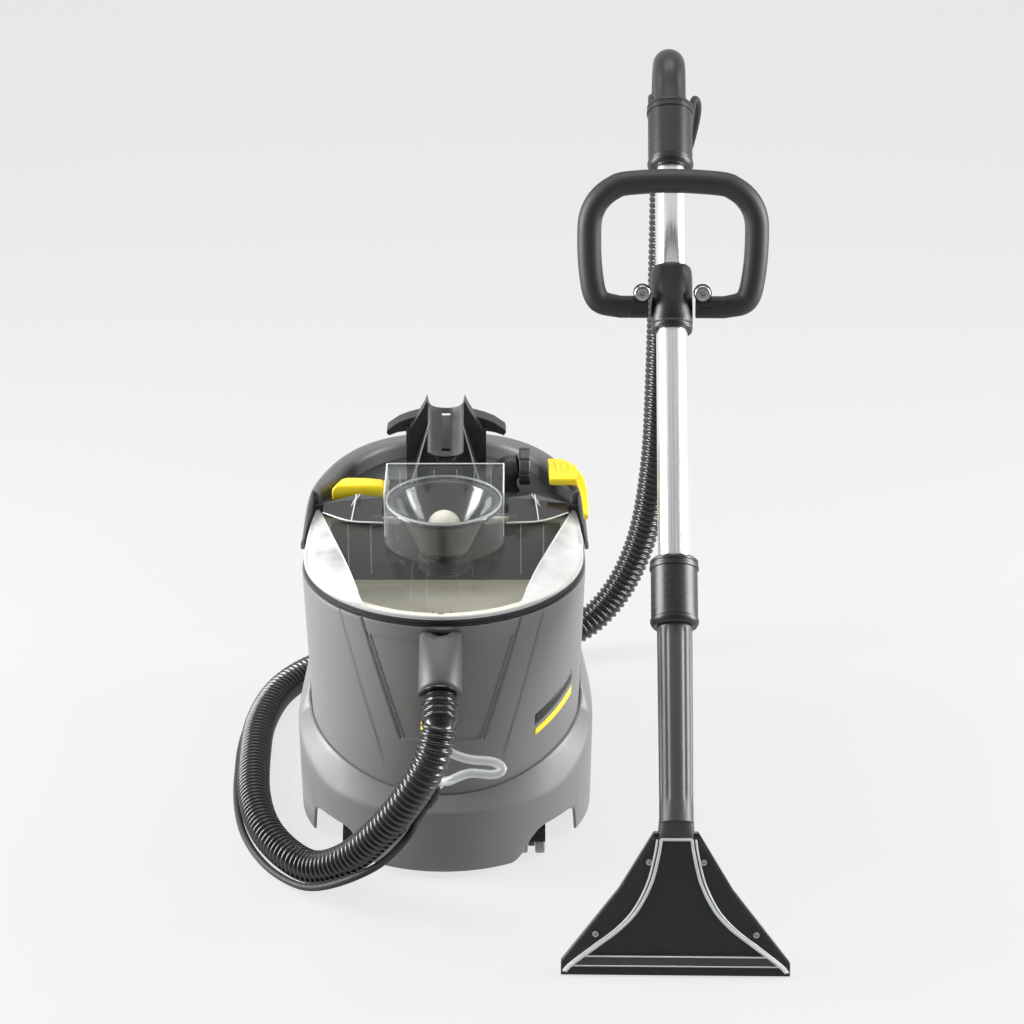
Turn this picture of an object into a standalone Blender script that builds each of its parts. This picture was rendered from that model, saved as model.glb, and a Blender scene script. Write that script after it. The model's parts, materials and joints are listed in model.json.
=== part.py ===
"""Spot extractor: a spray-extraction cleaner with its hose, steel tube and floor nozzle.

Metres, +Z up. The machine is modelled round the centre of its round front, the wand round the
middle of its nozzle mouth, and two empties place both so that the origin is the bottom centre
of the whole object.
"""

import math

import bmesh
import bpy
from mathutils import Matrix, Vector

# ---- driving dimensions ------------------------------------------------------------------
GAP = 0.0003                   # clearance between pieces that touch
MACHINE = (-0.0996, -0.0243, 0.0)  # the centre of the machine's round front
WAND = (0.1474, -0.3773, 0.0)   # the middle of the nozzle mouth
WAND_TURN = math.radians(-0.9)
ROUND = 48                     # points round a body outline
TURNED = 24                    # sides of a turned piece

REAR_EXTRA = 0.1125            # how much longer the outline is behind its widest line
REAR_POWER = 2.5               # squareness of the rear outline
SKIRT_LOW = 0.166
SKIRT_WIDE = 0.168
FLOOR_GAP = 0.008
WALL = 0.003
CHASSIS_Z = 0.046
CHASSIS_THICK = 0.004
TANK_LOW = 0.1485
TANK_RIM = 0.158
RIM_Z = 0.3075
TANK_FLOOR_Z = CHASSIS_Z + CHASSIS_THICK + GAP
COVER_HALF = 0.1553
COVER_BACK = 0.107             # the plane where the dirty-water unit ends
COVER_WALL = 0.0026
HEAD_FRONT = 0.1085
HEAD_DECK_Z = 0.3300
SEAL_TOP_Z = 0.3160
HANDLE_TOP = 0.3520
SPRAY_SWITCH = (Matrix.Translation((0.1475, 0.126, HANDLE_TOP + 0.0068))
                @ Matrix.Rotation(math.radians(14), 4, "Z"))
ARCH = ((27.5, 0.008), (32.0, 0.0165), (36.0, 0.032), (43.0, 0.0435),
        (57.0, 0.0435), (62.5, 0.036), (63.6, 0.008))

CASTER_PIVOT = (0.0977, 0.0880)
CASTER_TRAIL = 0.019
WHEEL_RADIUS = 0.0185
WHEEL_WIDTH = 0.011
FORK_HALF = 0.0036

PORT_MOUTH = Vector((0.0, -0.213, 0.2575))
PORT_AXIS = Vector((0.0, -0.857, -0.515)).normalized()
PORT_RADIUS = 0.0232
CUFF_LENGTH = 0.016
COUPLING_AT = Vector((-0.0045, -0.1540, 0.198))

TURRET_RADIUS = 0.067
TURRET_Y = 0.026
TURRET_TOP = 0.382

NOZZLE_WIDTH = 0.240
NOZZLE_LENGTH = 0.150
NOZZLE_LEAN = math.radians(22.0)
TUBE_LEAN = math.radians(45.0)
NECK_END = 0.225
LOWER_NUT_END = 0.302
TUBE_END = 0.772
UPPER_NUT_END = 0.855
TUBE_RADIUS = 0.0175
NUT_RADIUS = 0.0267
CLAMP_LOW = 0.571
CLAMP_HIGH = 0.647
LEVER_OPEN = math.radians(12)  # how far the released lever stands off its valve

HOSE_RADIUS = 0.019
LINE_RADIUS = 0.004
CLEAR_RADIUS = 0.005
MOTOR_AT = (0.0, 0.190)
PUMP_X = -0.060

for old in list(bpy.data.objects):
    bpy.data.objects.remove(old, do_unlink=True)


# ---- materials ---------------------------------------------------------------------------
def paint(name, colour, roughness=0.5, metallic=0.0, alpha=1.0):
    material = bpy.data.materials.new(name)
    material.use_nodes = True
    shader = material.node_tree.nodes["Principled BSDF"]
    shader.inputs["Base Color"].default_value = (*colour, 1.0)
    shader.inputs["Roughness"].default_value = roughness
    shader.inputs["Metallic"].default_value = metallic
    shader.inputs["Alpha"].default_value = alpha
    material.diffuse_color = (*colour, alpha)
    return material


GREY = paint("grey_plastic", (0.21, 0.21, 0.215), 0.5)
DARK = paint("dark_grey_plastic", (0.045, 0.046, 0.05), 0.45)
BLACK = paint("black_plastic", (0.012, 0.012, 0.013), 0.4)
RUBBER = paint("black_rubber", (0.01, 0.01, 0.01), 0.7)
YELLOW = paint("yellow_plastic", (0.85, 0.68, 0.01), 0.4)
CREAM = paint("cream_plastic", (0.62, 0.58, 0.47), 0.5)
CLEAR = paint("clear_plastic", (0.8, 0.84, 0.85), 0.08, 0.0, 0.35)
STEEL = paint("bright_steel", (0.7, 0.7, 0.71), 0.25, 1.0)
HOSE = paint("hose_plastic", (0.012, 0.012, 0.013), 0.3)


# ---- modelling helpers -------------------------------------------------------------------
def finish(name, bm, material, parent=None, matrix=None, sharp=35.0):
    """Turns a bmesh into an object whose faces point out."""
    bmesh.ops.remove_doubles(bm, verts=bm.verts, dist=0.000005)
    bmesh.ops.recalc_face_normals(bm, faces=bm.faces)
    mesh = bpy.data.meshes.new(name)
    bm.to_mesh(mesh)
    bm.free()
    mesh.materials.append(material)
    mesh.shade_smooth()
    mesh.set_sharp_from_angle(angle=math.radians(sharp))
    obj = bpy.data.objects.new(name, mesh)
    bpy.context.collection.objects.link(obj)
    obj.parent = parent
    if matrix is not None:
        obj.matrix_local = matrix
    return obj


def loft(rings, closed=False):
    """A solid through rings of equal length; closed joins the last ring to the first."""
    bm = bmesh.new()
    rows = [[bm.verts.new(p) for p in ring] for ring in rings]
    pairs = list(zip(rows, rows[1:]))
    if closed:
        pairs.append((rows[-1], rows[0]))
    for low, high in pairs:
        for i in range(len(low)):
            j = (i + 1) % len(low)
            bm.faces.new((low[i], low[j], high[j], high[i]))
    if not closed:
        bm.faces.new(rows[0][::-1])
        bm.faces.new(rows[-1])
    return bm


def lathe(profile, sides=TURNED, closed=False):
    """Turns (radius, height) points round Z; closed makes a ring from a loop of points."""
    turn = [2 * math.pi * k / sides for k in range(sides)]
    rings = [[(r * math.cos(a), r * math.sin(a), z) for a in turn] for r, z in profile]
    return loft(rings, closed)


def block(size, at=(0, 0, 0), bevel=0.0):
    bm = bmesh.new()
    bmesh.ops.create_cube(bm, size=1.0, matrix=Matrix.Translation(at) @ Matrix.Diagonal((*size, 1)))
    if bevel:
        bmesh.ops.bevel(bm, geom=bm.edges, offset=bevel, segments=1, affect="EDGES", profile=0.5)
    return bm


def prism(outline, low, high, axis="Z"):
    """Extrudes a 2-D outline from low to high along an axis."""
    place = {"Z": lambda a, b, c: (a, b, c), "Y": lambda a, b, c: (a, c, b),
             "X": lambda a, b, c: (c, a, b)}[axis]
    return loft([[place(a, b, c) for a, b in outline] for c in (low, high)])


def along(at, direction):
    """The frame at a point with its Z along a direction."""
    turn = Vector(direction).to_track_quat("Z", "Y").to_matrix().to_4x4()
    return Matrix.Translation(at) @ turn


def hide(obj):
    obj.hide_render = True
    obj.display_type = "WIRE"
    return obj


def boolean(obj, operation, *tools):
    for tool in tools:
        modifier = obj.modifiers.new(operation.lower(), "BOOLEAN")
        modifier.operation = operation
        modifier.solver = "EXACT"
        modifier.object = hide(tool)


def smooth_curve(points, spacing):
    """Points at even spacing on a Catmull-Rom curve through the route's points."""
    route = [Vector(p) for p in points]
    route = [2 * route[0] - route[1]] + route + [2 * route[-1] - route[-2]]
    fine = []
    for a, b, c, d in zip(route, route[1:], route[2:], route[3:]):
        for k in range(24):
            t = k / 24
            fine.append(0.5 * (2 * b + (c - a) * t + (2 * a - 5 * b + 4 * c - d) * t * t
                               + (3 * b - a - 3 * c + d) * t ** 3))
    fine.append(route[-2])
    run = [0.0]
    for p, q in zip(fine, fine[1:]):
        run.append(run[-1] + (q - p).length)
    count = max(2, round(run[-1] / spacing))
    even = []
    k = 0
    for step in range(count + 1):
        want = run[-1] * step / count
        while k < len(run) - 2 and run[k + 1] < want:
            k += 1
        part = (want - run[k]) / (run[k + 1] - run[k])
        even.append(fine[k].lerp(fine[k + 1], part))
    return even


def tube(name, points, radius, material, parent=None, resolution=2):
    """A round tube along a polyline, with filled ends."""
    curve = bpy.data.curves.new(name, "CURVE")
    curve.dimensions = "3D"
    curve.bevel_depth = radius
    curve.bevel_resolution = resolution
    curve.use_fill_caps = True
    spline = curve.splines.new("POLY")
    spline.points.add(len(points) - 1)
    for point, at in zip(spline.points, points):
        point.co = (*at, 1.0)
    curve.materials.append(material)
    obj = bpy.data.objects.new(name, curve)
    bpy.context.collection.objects.link(obj)
    obj.parent = parent
    return obj


def empty(name, matrix, parent=None):
    obj = bpy.data.objects.new(name, None)
    bpy.context.collection.objects.link(obj)
    obj.parent = parent
    obj.matrix_local = matrix
    return obj


# ---- the body's outline ------------------------------------------------------------------
def outline_at(angle, half):
    """A point of the body's outline: angle 0 faces the front and turns towards +X."""
    s, c = math.sin(angle), -math.cos(angle)
    if c <= 0:
        return (half * s, half * c)
    bend = 2 / REAR_POWER
    return (half * math.copysign(abs(s) ** bend, s), (half + REAR_EXTRA) * c ** bend)


def side_x(y, half):
    """How far the outline reaches in X at a depth y behind its widest line."""
    return half * (1 - (y / (half + REAR_EXTRA)) ** REAR_POWER) ** (1 / REAR_POWER)


def angle_where(y, half):
    """The angle where the rear outline passes a depth y."""
    return math.pi / 2 + math.asin((y / (half + REAR_EXTRA)) ** (REAR_POWER / 2))


def full_ring(half, z, angles):
    return [(*outline_at(a, half), z) for a in angles]


def front_ring(half, back, z, count=40):
    """The outline forward of a plane y = back, closed by a straight chord."""
    end = angle_where(back, half)
    return [(*outline_at(-end + 2 * end * k / count, half), z) for k in range(count + 1)]


def rear_ring(half, front, z, count=30):
    """The outline behind a plane y = front, closed by a straight chord."""
    start = angle_where(front, half)
    reach = 2 * (math.pi - start)
    return [(*outline_at(start + reach * k / count, half), z) for k in range(count + 1)]


def tank_half(z):
    return TANK_LOW + (TANK_RIM - TANK_LOW) * (z - TANK_FLOOR_Z) / (RIM_Z - TANK_FLOOR_Z)


def ease(low, high, value):
    t = min(1.0, max(0.0, (value - low) / (high - low)))
    return t * t * (3 - 2 * t)


def from_front(angle):
    """Degrees from the front, 0 to 180 on either side."""
    return abs((math.degrees(angle) + 180) % 360 - 180)


def belt_low(angle):
    return 0.083 + 0.039 * ease(45, 92, from_front(angle))


def belt_high(angle):
    turn = from_front(angle)
    return 0.098 + 0.035 * ease(0, 88, turn) + 0.042 * ease(84, 97, turn)


def skirt_edge(angle):
    """Height of the skirt's lower edge: it rises in an arch over each caster."""
    turn = from_front(angle)
    turn = min(turn, 180 - turn)
    if not ARCH[0][0] < turn < ARCH[-1][0]:
        return FLOOR_GAP
    for (a, low), (b, high) in zip(ARCH, ARCH[1:]):
        if turn <= b:
            return low + (high - low) * (turn - a) / (b - a)
    return FLOOR_GAP


def skirt_angles():
    """Even angles, and the corners of the four arches."""
    even = [360 * k / ROUND for k in range(ROUND)]
    corners = [turn for turn, _ in ARCH]
    corners += [180 - turn for turn in corners]
    corners += [360 - turn for turn in corners]
    clear = [a for a in even if min(abs(a - b) for b in corners) > 1.6]
    return [math.radians(a) for a in sorted(clear + corners)]


# ---- machine: housing and tank -----------------------------------------------------------
def make_housing(machine):
    angles = skirt_angles()

    def ring(inset, height):
        return [(*outline_at(a, inset(a)), height(a)) for a in angles]

    rings = [ring(lambda a: SKIRT_LOW, skirt_edge),
             ring(lambda a: SKIRT_WIDE, belt_low),
             ring(lambda a: tank_half(belt_high(a)) + WALL, belt_high),
             ring(lambda a: tank_half(belt_high(a)) + 0.0005, belt_high),
             ring(lambda a: SKIRT_WIDE - WALL, lambda a: belt_low(a) - 0.002),
             ring(lambda a: SKIRT_LOW - WALL, skirt_edge)]
    finish("base_skirt", loft(rings, closed=True), GREY, machine, sharp=25)

    even = [2 * math.pi * k / ROUND for k in range(ROUND)]
    plate = SKIRT_LOW - WALL - GAP
    bottom = [full_ring(plate, z, even) for z in (CHASSIS_Z, CHASSIS_Z + CHASSIS_THICK)]
    finish("chassis_plate", loft(bottom), BLACK, machine)

    floor = TANK_FLOOR_Z + WALL
    rings = [full_ring(TANK_LOW, TANK_FLOOR_Z, even),
             full_ring(tank_half(RIM_Z), RIM_Z, even),
             full_ring(tank_half(RIM_Z) - WALL, RIM_Z, even),
             full_ring(tank_half(floor) - WALL, floor, even)]
    tank = finish("fresh_water_tank", loft(rings), GREY, machine)
    bore = finish("tank_port_hole", lathe([(0.0165, -0.03), (0.0165, 0.03)]), GREY, machine,
                  along(PORT_MOUTH - PORT_AXIS * 0.062, PORT_AXIS))
    nipple = finish("tank_coupling_hole", lathe([(0.0075, -0.02), (0.0075, 0.02)], 12), GREY,
                    machine, along(COUPLING_AT, (0, -1, 0)))
    boolean(tank, "DIFFERENCE", bore, nipple)

    low, high = floor + GAP, RIM_Z - 0.003
    front, back = HEAD_FRONT + 0.0015, HEAD_FRONT + 0.0045
    rings = []
    for z in (low, high):
        x = side_x(back, tank_half(z) - WALL) - 0.0008
        rings.append([(-x, front, z), (x, front, z), (x, back, z), (-x, back, z)])
    bulkhead = finish("tank_bulkhead", loft(rings), GREY, machine)
    holes = [finish("bulkhead_hole", lathe([(0.0056, -0.01), (0.0056, 0.01)], 12), GREY, machine,
                    along((x, front, z), (0, 1, 0))) for x, z in ((-0.060, 0.085), (-0.100, 0.160))]
    boolean(bulkhead, "DIFFERENCE", *holes)


# ---- machine: dirty-water unit that lifts off ---------------------------------------------
def make_dirty_tank(machine):
    inner, back = COVER_HALF - 0.0093, COVER_BACK - 0.008
    rings = [front_ring(COVER_HALF, COVER_BACK, RIM_Z + GAP),
             front_ring(COVER_HALF, COVER_BACK, SEAL_TOP_Z),
             front_ring(inner, back, SEAL_TOP_Z),
             front_ring(inner, back, RIM_Z + GAP)]
    finish("tank_seal", loft(rings, closed=True), RUBBER, machine)

    top = SEAL_TOP_Z + GAP + 0.002
    flange = COVER_HALF - 0.0045
    rings = [front_ring(inner - 0.0035, back - 0.003, 0.229),
             front_ring(inner - 0.0006, back - 0.0006, SEAL_TOP_Z + GAP),
             front_ring(flange, COVER_BACK - 0.0045, SEAL_TOP_Z + GAP),
             front_ring(flange, COVER_BACK - 0.0045, top),
             front_ring(inner - 0.003, back - 0.003, top),
             front_ring(inner - 0.0065, back - 0.006, 0.232)]
    tub = finish("dirty_water_tub", loft(rings), CREAM, machine)
    bore = finish("tub_port_hole", lathe([(0.0165, -0.03), (0.0165, 0.03)]), CREAM, machine,
                  along(PORT_MOUTH - PORT_AXIS * 0.074, PORT_AXIS))
    boolean(tub, "DIFFERENCE", bore)
    make_cover(machine, top + GAP)

    hood = finish("inlet_deflector", block((0.088, 0.040, 0.056), (0, -0.108, 0.2625)), DARK,
                  machine)
    hollow = finish("deflector_hollow", block((0.082, 0.041, 0.060), (0, -0.1115, 0.2575)), DARK,
                    machine)
    boolean(hood, "DIFFERENCE", hollow)

    cage = [(0.031, 0.318), (0.056, 0.3695), (0.0638, 0.3695), (0.0638, 0.3715),
            (0.054, 0.3715), (0.029, 0.320), (0.012, 0.320), (0.012, 0.318)]
    centre = Matrix.Translation((0, TURRET_Y, 0))
    finish("float_cage", lathe(cage, closed=True), BLACK, machine, centre)
    ball = bmesh.new()
    bmesh.ops.create_uvsphere(ball, u_segments=16, v_segments=10, radius=0.019)
    finish("float_ball", ball, CREAM, machine, Matrix.Translation((0, TURRET_Y, 0.3405)))
    sieve = [(0.030, 0.292), (0.030, 0.3175), (0.0275, 0.3175), (0.0275, 0.2945),
             (0.010, 0.2945), (0.010, 0.292)]
    finish("lint_filter", lathe(sieve, closed=True), BLACK, machine, centre)


def roof_cut(bm, drop, mirror=False):
    """Cuts the cover's solid along its two top facets and its two side facets."""
    ridge = Vector((0, -0.042, 0.329 - drop))
    crease_low = Vector((0.090, -0.107, 0.3255 - drop))
    crease_high = Vector((0.148, 0.117, 0.3265 - drop))
    side = Vector((0.1553, 0.0, 0.3215 - drop))
    facets = [(ridge, Vector((0, -0.062, 1.0))), (ridge, Vector((0, 0.035, 1.0)))]
    slope = (crease_high - crease_low).cross(side - crease_low)
    slope = slope if slope.z > 0 else -slope
    facets += [(side, slope), (side * Vector((-1, 1, 1)), slope * Vector((-1, 1, 1)))]
    for point, normal in facets:
        geometry = bm.verts[:] + bm.edges[:] + bm.faces[:]
        cut = bmesh.ops.bisect_plane(bm, geom=geometry, dist=0.000001, plane_co=point,
                                     plane_no=normal, clear_outer=True)
        edges = [g for g in cut["geom_cut"] if isinstance(g, bmesh.types.BMEdge)]
        bmesh.ops.holes_fill(bm, edges=edges)
    return bm


def turret_outline(radius, back, count=24):
    arc = [math.pi + math.pi * k / count for k in range(count + 1)]
    points = [(radius * math.cos(a), TURRET_Y + radius * math.sin(a)) for a in arc]
    return points + [(radius, back), (-radius, back)]


def make_cover(machine, inside_z):
    lip = SEAL_TOP_Z + GAP
    half, rear = COVER_HALF - 0.0016, COVER_BACK - 0.0016
    solid = roof_cut(loft([front_ring(half, rear, z) for z in (lip, 0.36)]), 0.0)
    cover = finish("clear_cover", solid, CLEAR, machine, sharp=20)
    inner, back = COVER_HALF - COVER_WALL - 0.0012, COVER_BACK - COVER_WALL - 0.0012
    hollow = roof_cut(loft([front_ring(inner, back, z) for z in (lip - 0.01, 0.36)]), COVER_WALL)
    hollow = finish("cover_hollow", hollow, CLEAR, machine)
    turret = finish("cover_turret", prism(turret_outline(TURRET_RADIUS, rear - 0.0001),
                                          0.3205, TURRET_TOP), CLEAR, machine)
    chamber = prism(turret_outline(TURRET_RADIUS - COVER_WALL, rear - COVER_WALL), 0.31,
                    TURRET_TOP - COVER_WALL)
    chamber = finish("turret_chamber", chamber, CLEAR, machine)
    bands = []
    for side in (-1, 1):
        slope = [(0.083, 0.3195), (0.1005, 0.345), (0.1068, 0.345), (0.1068, 0.3195)]
        ends = ((0.060, 0.060), (0.122, 0.098))
        rings = [[(side * (low if z < 0.33 else high), y, z) for y, z in slope]
                 for low, high in ends]
        bands.append(finish("cover_band", loft(rings), CLEAR, machine))
    ribs = [finish("cover_rib", block((0.017, 0.100, 0.012), (x, -0.094, 0.3285), 0.003), CLEAR,
                   machine) for x in (-0.0245, 0.0245)]
    boolean(cover, "UNION", turret, *bands, *ribs)
    boolean(cover, "DIFFERENCE", hollow, chamber)


# ---- machine: motor head -----------------------------------------------------------------
def make_head(machine):
    bottom = RIM_Z + GAP
    lid = [rear_ring(TANK_RIM - 0.0001, HEAD_FRONT, z) for z in (bottom, HEAD_DECK_Z)]
    head = finish("motor_head", loft(lid), DARK, machine, sharp=30)
    hollow = [rear_ring(TANK_RIM - 0.0031, HEAD_FRONT + 0.003, z)
              for z in (bottom - 0.01, HEAD_DECK_Z - 0.003)]
    boolean(head, "DIFFERENCE", finish("head_hollow", loft(hollow), DARK, machine))

    make_handle(machine)
    finish("counter_window", block((0.034, 0.032, 0.002), (-0.086, 0.1585, HEAD_DECK_Z + 0.0013)),
           BLACK, machine)

    well = [(-0.0325, -0.012), (-0.026, -0.013), (0.030, -0.013), (0.0325, 0.004), (0.010, 0.012),
            (-0.022, 0.013)]
    rocker = prism(well, -0.0055, 0.008, "Z")
    bmesh.ops.bevel(rocker, geom=rocker.edges, offset=0.0015, segments=1, affect="EDGES")
    finish("suction_switch", rocker, YELLOW, machine, Matrix.Translation((-0.0985, 0.1255, 0.3386)))
    top = [(0.1190, 0.1090), (0.1570, 0.1090), (0.1480, 0.1400), (0.1370, 0.1640),
           (0.1170, 0.1690)]
    spray = prism(top, HANDLE_TOP + 0.0018, HANDLE_TOP + 0.0098)
    bmesh.ops.transform(spray, matrix=SPRAY_SWITCH.inverted(), verts=spray.verts)
    finish("spray_switch", spray, YELLOW, machine, SPRAY_SWITCH)

    elbow = smooth_curve([(0.066, 0.152, HEAD_DECK_Z + GAP), (0.066, 0.152, 0.3370),
                          (0.066, 0.152, 0.3440), (0.0715, 0.1515, 0.3555),
                          (0.0835, 0.151, 0.3590)], 0.006)
    tube("exhaust_elbow", elbow, 0.0130, DARK, machine, 3)
    collar = [(0.0135, 0.0), (0.0180, 0.0), (0.0190, 0.002), (0.0190, 0.011), (0.0180, 0.013),
              (0.0135, 0.013)]
    finish("exhaust_collar", lathe(collar, closed=True), DARK, machine,
           along((0.0840, 0.1510, 0.3592), (1, 0, 0)))

    boot = [(0.0040, 0.0), (0.0120, 0.0), (0.0120, 0.004), (0.0075, 0.006), (0.0055, 0.024),
            (0.0040, 0.024)]
    spot = Vector((*outline_at(math.radians(162), TANK_RIM), 0.3200))
    finish("cord_gland", lathe(boot, 16, closed=True), BLACK, machine,
           along(spot + Vector((0.0005, 0.0022, 0)), (0.35, 0.93, 0)))


def make_handle(machine):
    """The raised rim that runs from one side round the back to the other, used to carry."""
    def section(angle, outer, inner, low, top):
        out, ins = Vector(outline_at(angle, outer)), Vector(outline_at(angle, inner))
        return [(*out, low), (*out, top - 0.004), (*out.lerp(ins, 0.25), top),
                (*out.lerp(ins, 0.8), top - 0.001), (*ins, top - 0.005), (*ins, low)]

    def proud(y):
        return TANK_RIM + 0.0012 + 0.0036 * (1 - ease(0.115, 0.165, y))

    start = angle_where(0.1125, TANK_RIM)
    reach = 2 * (math.pi - start)
    rings = []
    for k in range(33):
        angle = start + reach * k / 32
        y = outline_at(angle, TANK_RIM)[1]
        top = HANDLE_TOP - 0.006 * (1 - ease(0.11, 0.16, y))
        width = 0.0060 + 0.0150 * ease(0.112, 0.160, y)
        rings.append(section(angle, proud(y), TANK_RIM - width, HEAD_DECK_Z + GAP, top))
    handle = finish("carry_handle", loft(rings), GREY, machine, sharp=30)
    arms = []
    for side in (-1, 1):
        rings = []
        for k in range(9):
            y = 0.036 + (0.150 - 0.036) * k / 8
            angle = side * angle_where(y, TANK_RIM)
            top = RIM_Z + 0.006 + (HANDLE_TOP - 0.008 - RIM_Z - 0.006) * ease(0.03, 0.115, y)
            rings.append(section(angle, proud(y) - 0.0002, TANK_RIM + GAP, RIM_Z + GAP, top))
        arms.append(finish("handle_arm", loft(rings), GREY, machine))
    boolean(handle, "UNION", *arms)


# ---- machine: holder for the tube and the accessories -------------------------------------
def make_holder(machine):
    base = block((0.092, 0.034, 0.0735), (0, 0.171, HEAD_DECK_Z + GAP + 0.03675))
    holder = finish("accessory_holder", base, BLACK, machine)
    cheek = [(0.0150, 0.380), (0.0215, 0.440), (0.026, 0.431), (0.0415, 0.4035), (0.045, 0.380)]
    wing = [(0.020, 0.398), (0.020, 0.419), (0.032, 0.416), (0.052, 0.410), (0.068, 0.399),
            (0.0665, 0.392), (0.050, 0.398)]
    pieces = []
    for side in (-1, 1):
        pieces.append(finish("holder_cheek", prism([(side * x, z) for x, z in cheek], 0.1515,
                                                   0.1700, "Y"), BLACK, machine))
        pieces.append(finish("holder_wing", prism([(side * x, z) for x, z in wing], 0.163,
                                                  0.1845, "Y"), BLACK, machine))
    foot = [[(-0.046, 0.1155, HEAD_DECK_Z + GAP), (0.046, 0.1155, HEAD_DECK_Z + GAP),
             (0.046, 0.160, HEAD_DECK_Z + GAP), (-0.046, 0.160, HEAD_DECK_Z + GAP)],
            [(-0.017, 0.140, 0.425), (0.017, 0.140, 0.425), (0.017, 0.160, 0.425),
             (-0.017, 0.160, 0.425)]]
    pieces.append(finish("holder_foot", loft(foot), BLACK, machine))
    boolean(holder, "UNION", *pieces)
    axis = Vector((0, 0.64, 0.768)).normalized()
    trough = finish("holder_trough", lathe([(0.0208, -0.008), (0.0208, 0.09)]), BLACK, machine,
                    along((0, 0.116, 0.3915), axis))
    boolean(holder, "DIFFERENCE", trough)

    arc = [math.radians(4 + 172 * k / 16) for k in range(17)]
    ring = [(0.0205 * math.cos(a), 0.0205 * math.sin(a)) for a in arc]
    ring += [(0.0180 * math.cos(a), 0.0180 * math.sin(a)) for a in reversed(arc)]
    half_pipe = prism(ring, 0.0, 0.058)
    place = along((0, 0.116, 0.3915), axis)
    if (place.to_3x3() @ Vector((0, 1, 0))).z > 0:
        place = place @ Matrix.Rotation(math.pi, 4, "Z")
    finish("holder_cradle", half_pipe, GREY, machine, place @ Matrix.Translation((0, 0, 0.001)))


# ---- machine: what it holds inside --------------------------------------------------------
def make_inside(machine):
    centre = Matrix.Translation((*MOTOR_AT, 0))
    housing = [(0.018, 0.300), (0.064, 0.300), (0.064, 0.262), (0.008, 0.262), (0.008, 0.2645),
               (0.0615, 0.2645), (0.0615, 0.2975), (0.018, 0.2975)]
    finish("fan_housing", lathe(housing, closed=True), BLACK, machine, centre)
    gasket = [(0.020, 0.3003), (0.034, 0.3003), (0.034, HEAD_DECK_Z - 0.0033),
              (0.020, HEAD_DECK_Z - 0.0033)]
    finish("motor_gasket", lathe(gasket, closed=True), RUBBER, machine, centre)
    body = [(0.0055, 0.2617), (0.052, 0.2617), (0.052, 0.185), (0.040, 0.172), (0.0055, 0.172)]
    finish("vacuum_motor", lathe(body, closed=True), STEEL, machine, centre)
    rotor = [(0.0040, 0.168), (0.0040, 0.270), (0.058, 0.270), (0.058, 0.290), (0.014, 0.292)]
    finish("motor_rotor", lathe(rotor), STEEL, machine, centre)

    pump = [(0.0050, 0.0), (0.0180, 0.0), (0.0200, 0.004), (0.0200, 0.070), (0.0100, 0.084)]
    finish("spray_pump", lathe(pump), BLACK, machine, along((PUMP_X, 0.150, 0.085), (0, 1, 0)))
    strainer = [(0.0120, 0.0539), (0.0150, 0.058), (0.0150, 0.105), (0.0110, 0.110)]
    finish("suction_strainer", lathe(strainer, 16), CREAM, machine,
           Matrix.Translation((PUMP_X, 0.080, 0)))
    tube("pump_inlet_hose", [(PUMP_X, 0.0954, 0.085), (PUMP_X, 0.122, 0.085),
                             (PUMP_X, 0.1497, 0.085)], 0.005, RUBBER, machine)
    route = [(PUMP_X, 0.215, 0.1056), (PUMP_X, 0.215, 0.115), (PUMP_X, 0.213, 0.128),
             (-0.075, 0.195, 0.152), (-0.100, 0.150, 0.160), (-0.100, 0.112, 0.160),
             (-0.102, 0.070, 0.166),
             (-0.104, 0.000, 0.178), (-0.092, -0.055, 0.190), (-0.055, -0.090, 0.197),
             (-0.022, -0.094, 0.198), (-0.0075, -0.103, 0.198), (-0.0045, -0.115, 0.198)]
    end = (-0.0045, -0.1294, 0.198)
    tube("pump_outlet_hose", smooth_curve(route, 0.012) + [end], 0.0045, RUBBER, machine)


# ---- machine: hose port and spray coupling ------------------------------------------------
def make_port(machine):
    pipe = [(0.0165, -0.070), (PORT_RADIUS, -0.070), (PORT_RADIUS, -0.004),
            (PORT_RADIUS - 0.002, 0.0), (0.0165, 0.0)]
    port = finish("hose_port", lathe(pipe, 32, closed=True), DARK, machine,
                  along(PORT_MOUTH, PORT_AXIS))
    even = [2 * math.pi * k / ROUND for k in range(ROUND)]
    wall = loft([full_ring(tank_half(z) + GAP, z, even) for z in (0.20, 0.34)])
    wall = finish("port_wall_cut", wall, DARK, machine)
    roof = finish("port_roof_cut", block((0.1, 0.1, 0.04), (0, -0.17, RIM_Z - 0.0035 + 0.02)), DARK,
                  machine)
    boolean(port, "DIFFERENCE", wall, roof)
    cuff = [(0.0160, 0.0), (0.0222, 0.0), (0.0232, 0.002), (0.0225, CUFF_LENGTH - 0.003),
            (0.0205, CUFF_LENGTH), (0.0160, CUFF_LENGTH)]
    finish("hose_cuff_machine", lathe(cuff, 32, closed=True), BLACK, machine,
           along(PORT_MOUTH + PORT_AXIS * GAP, PORT_AXIS))

    place = along(COUPLING_AT, (0, -1, 0))
    body = [(0.0040, -0.024), (0.0068, -0.024), (0.0068, 0.0040), (0.0170, 0.0040),
            (0.0170, 0.0075), (0.0085, 0.0080), (0.0085, 0.030), (0.0040, 0.030)]
    finish("coupling_body", lathe(body, closed=True), BLACK, machine, place)
    collar = [(0.0088, 0.0140), (0.0150, 0.0140), (0.0178, 0.0170), (0.0178, 0.0235),
              (0.0150, 0.0265), (0.0088, 0.0265)]
    finish("coupling_collar", lathe(collar, closed=True), YELLOW, machine, place)


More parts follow.
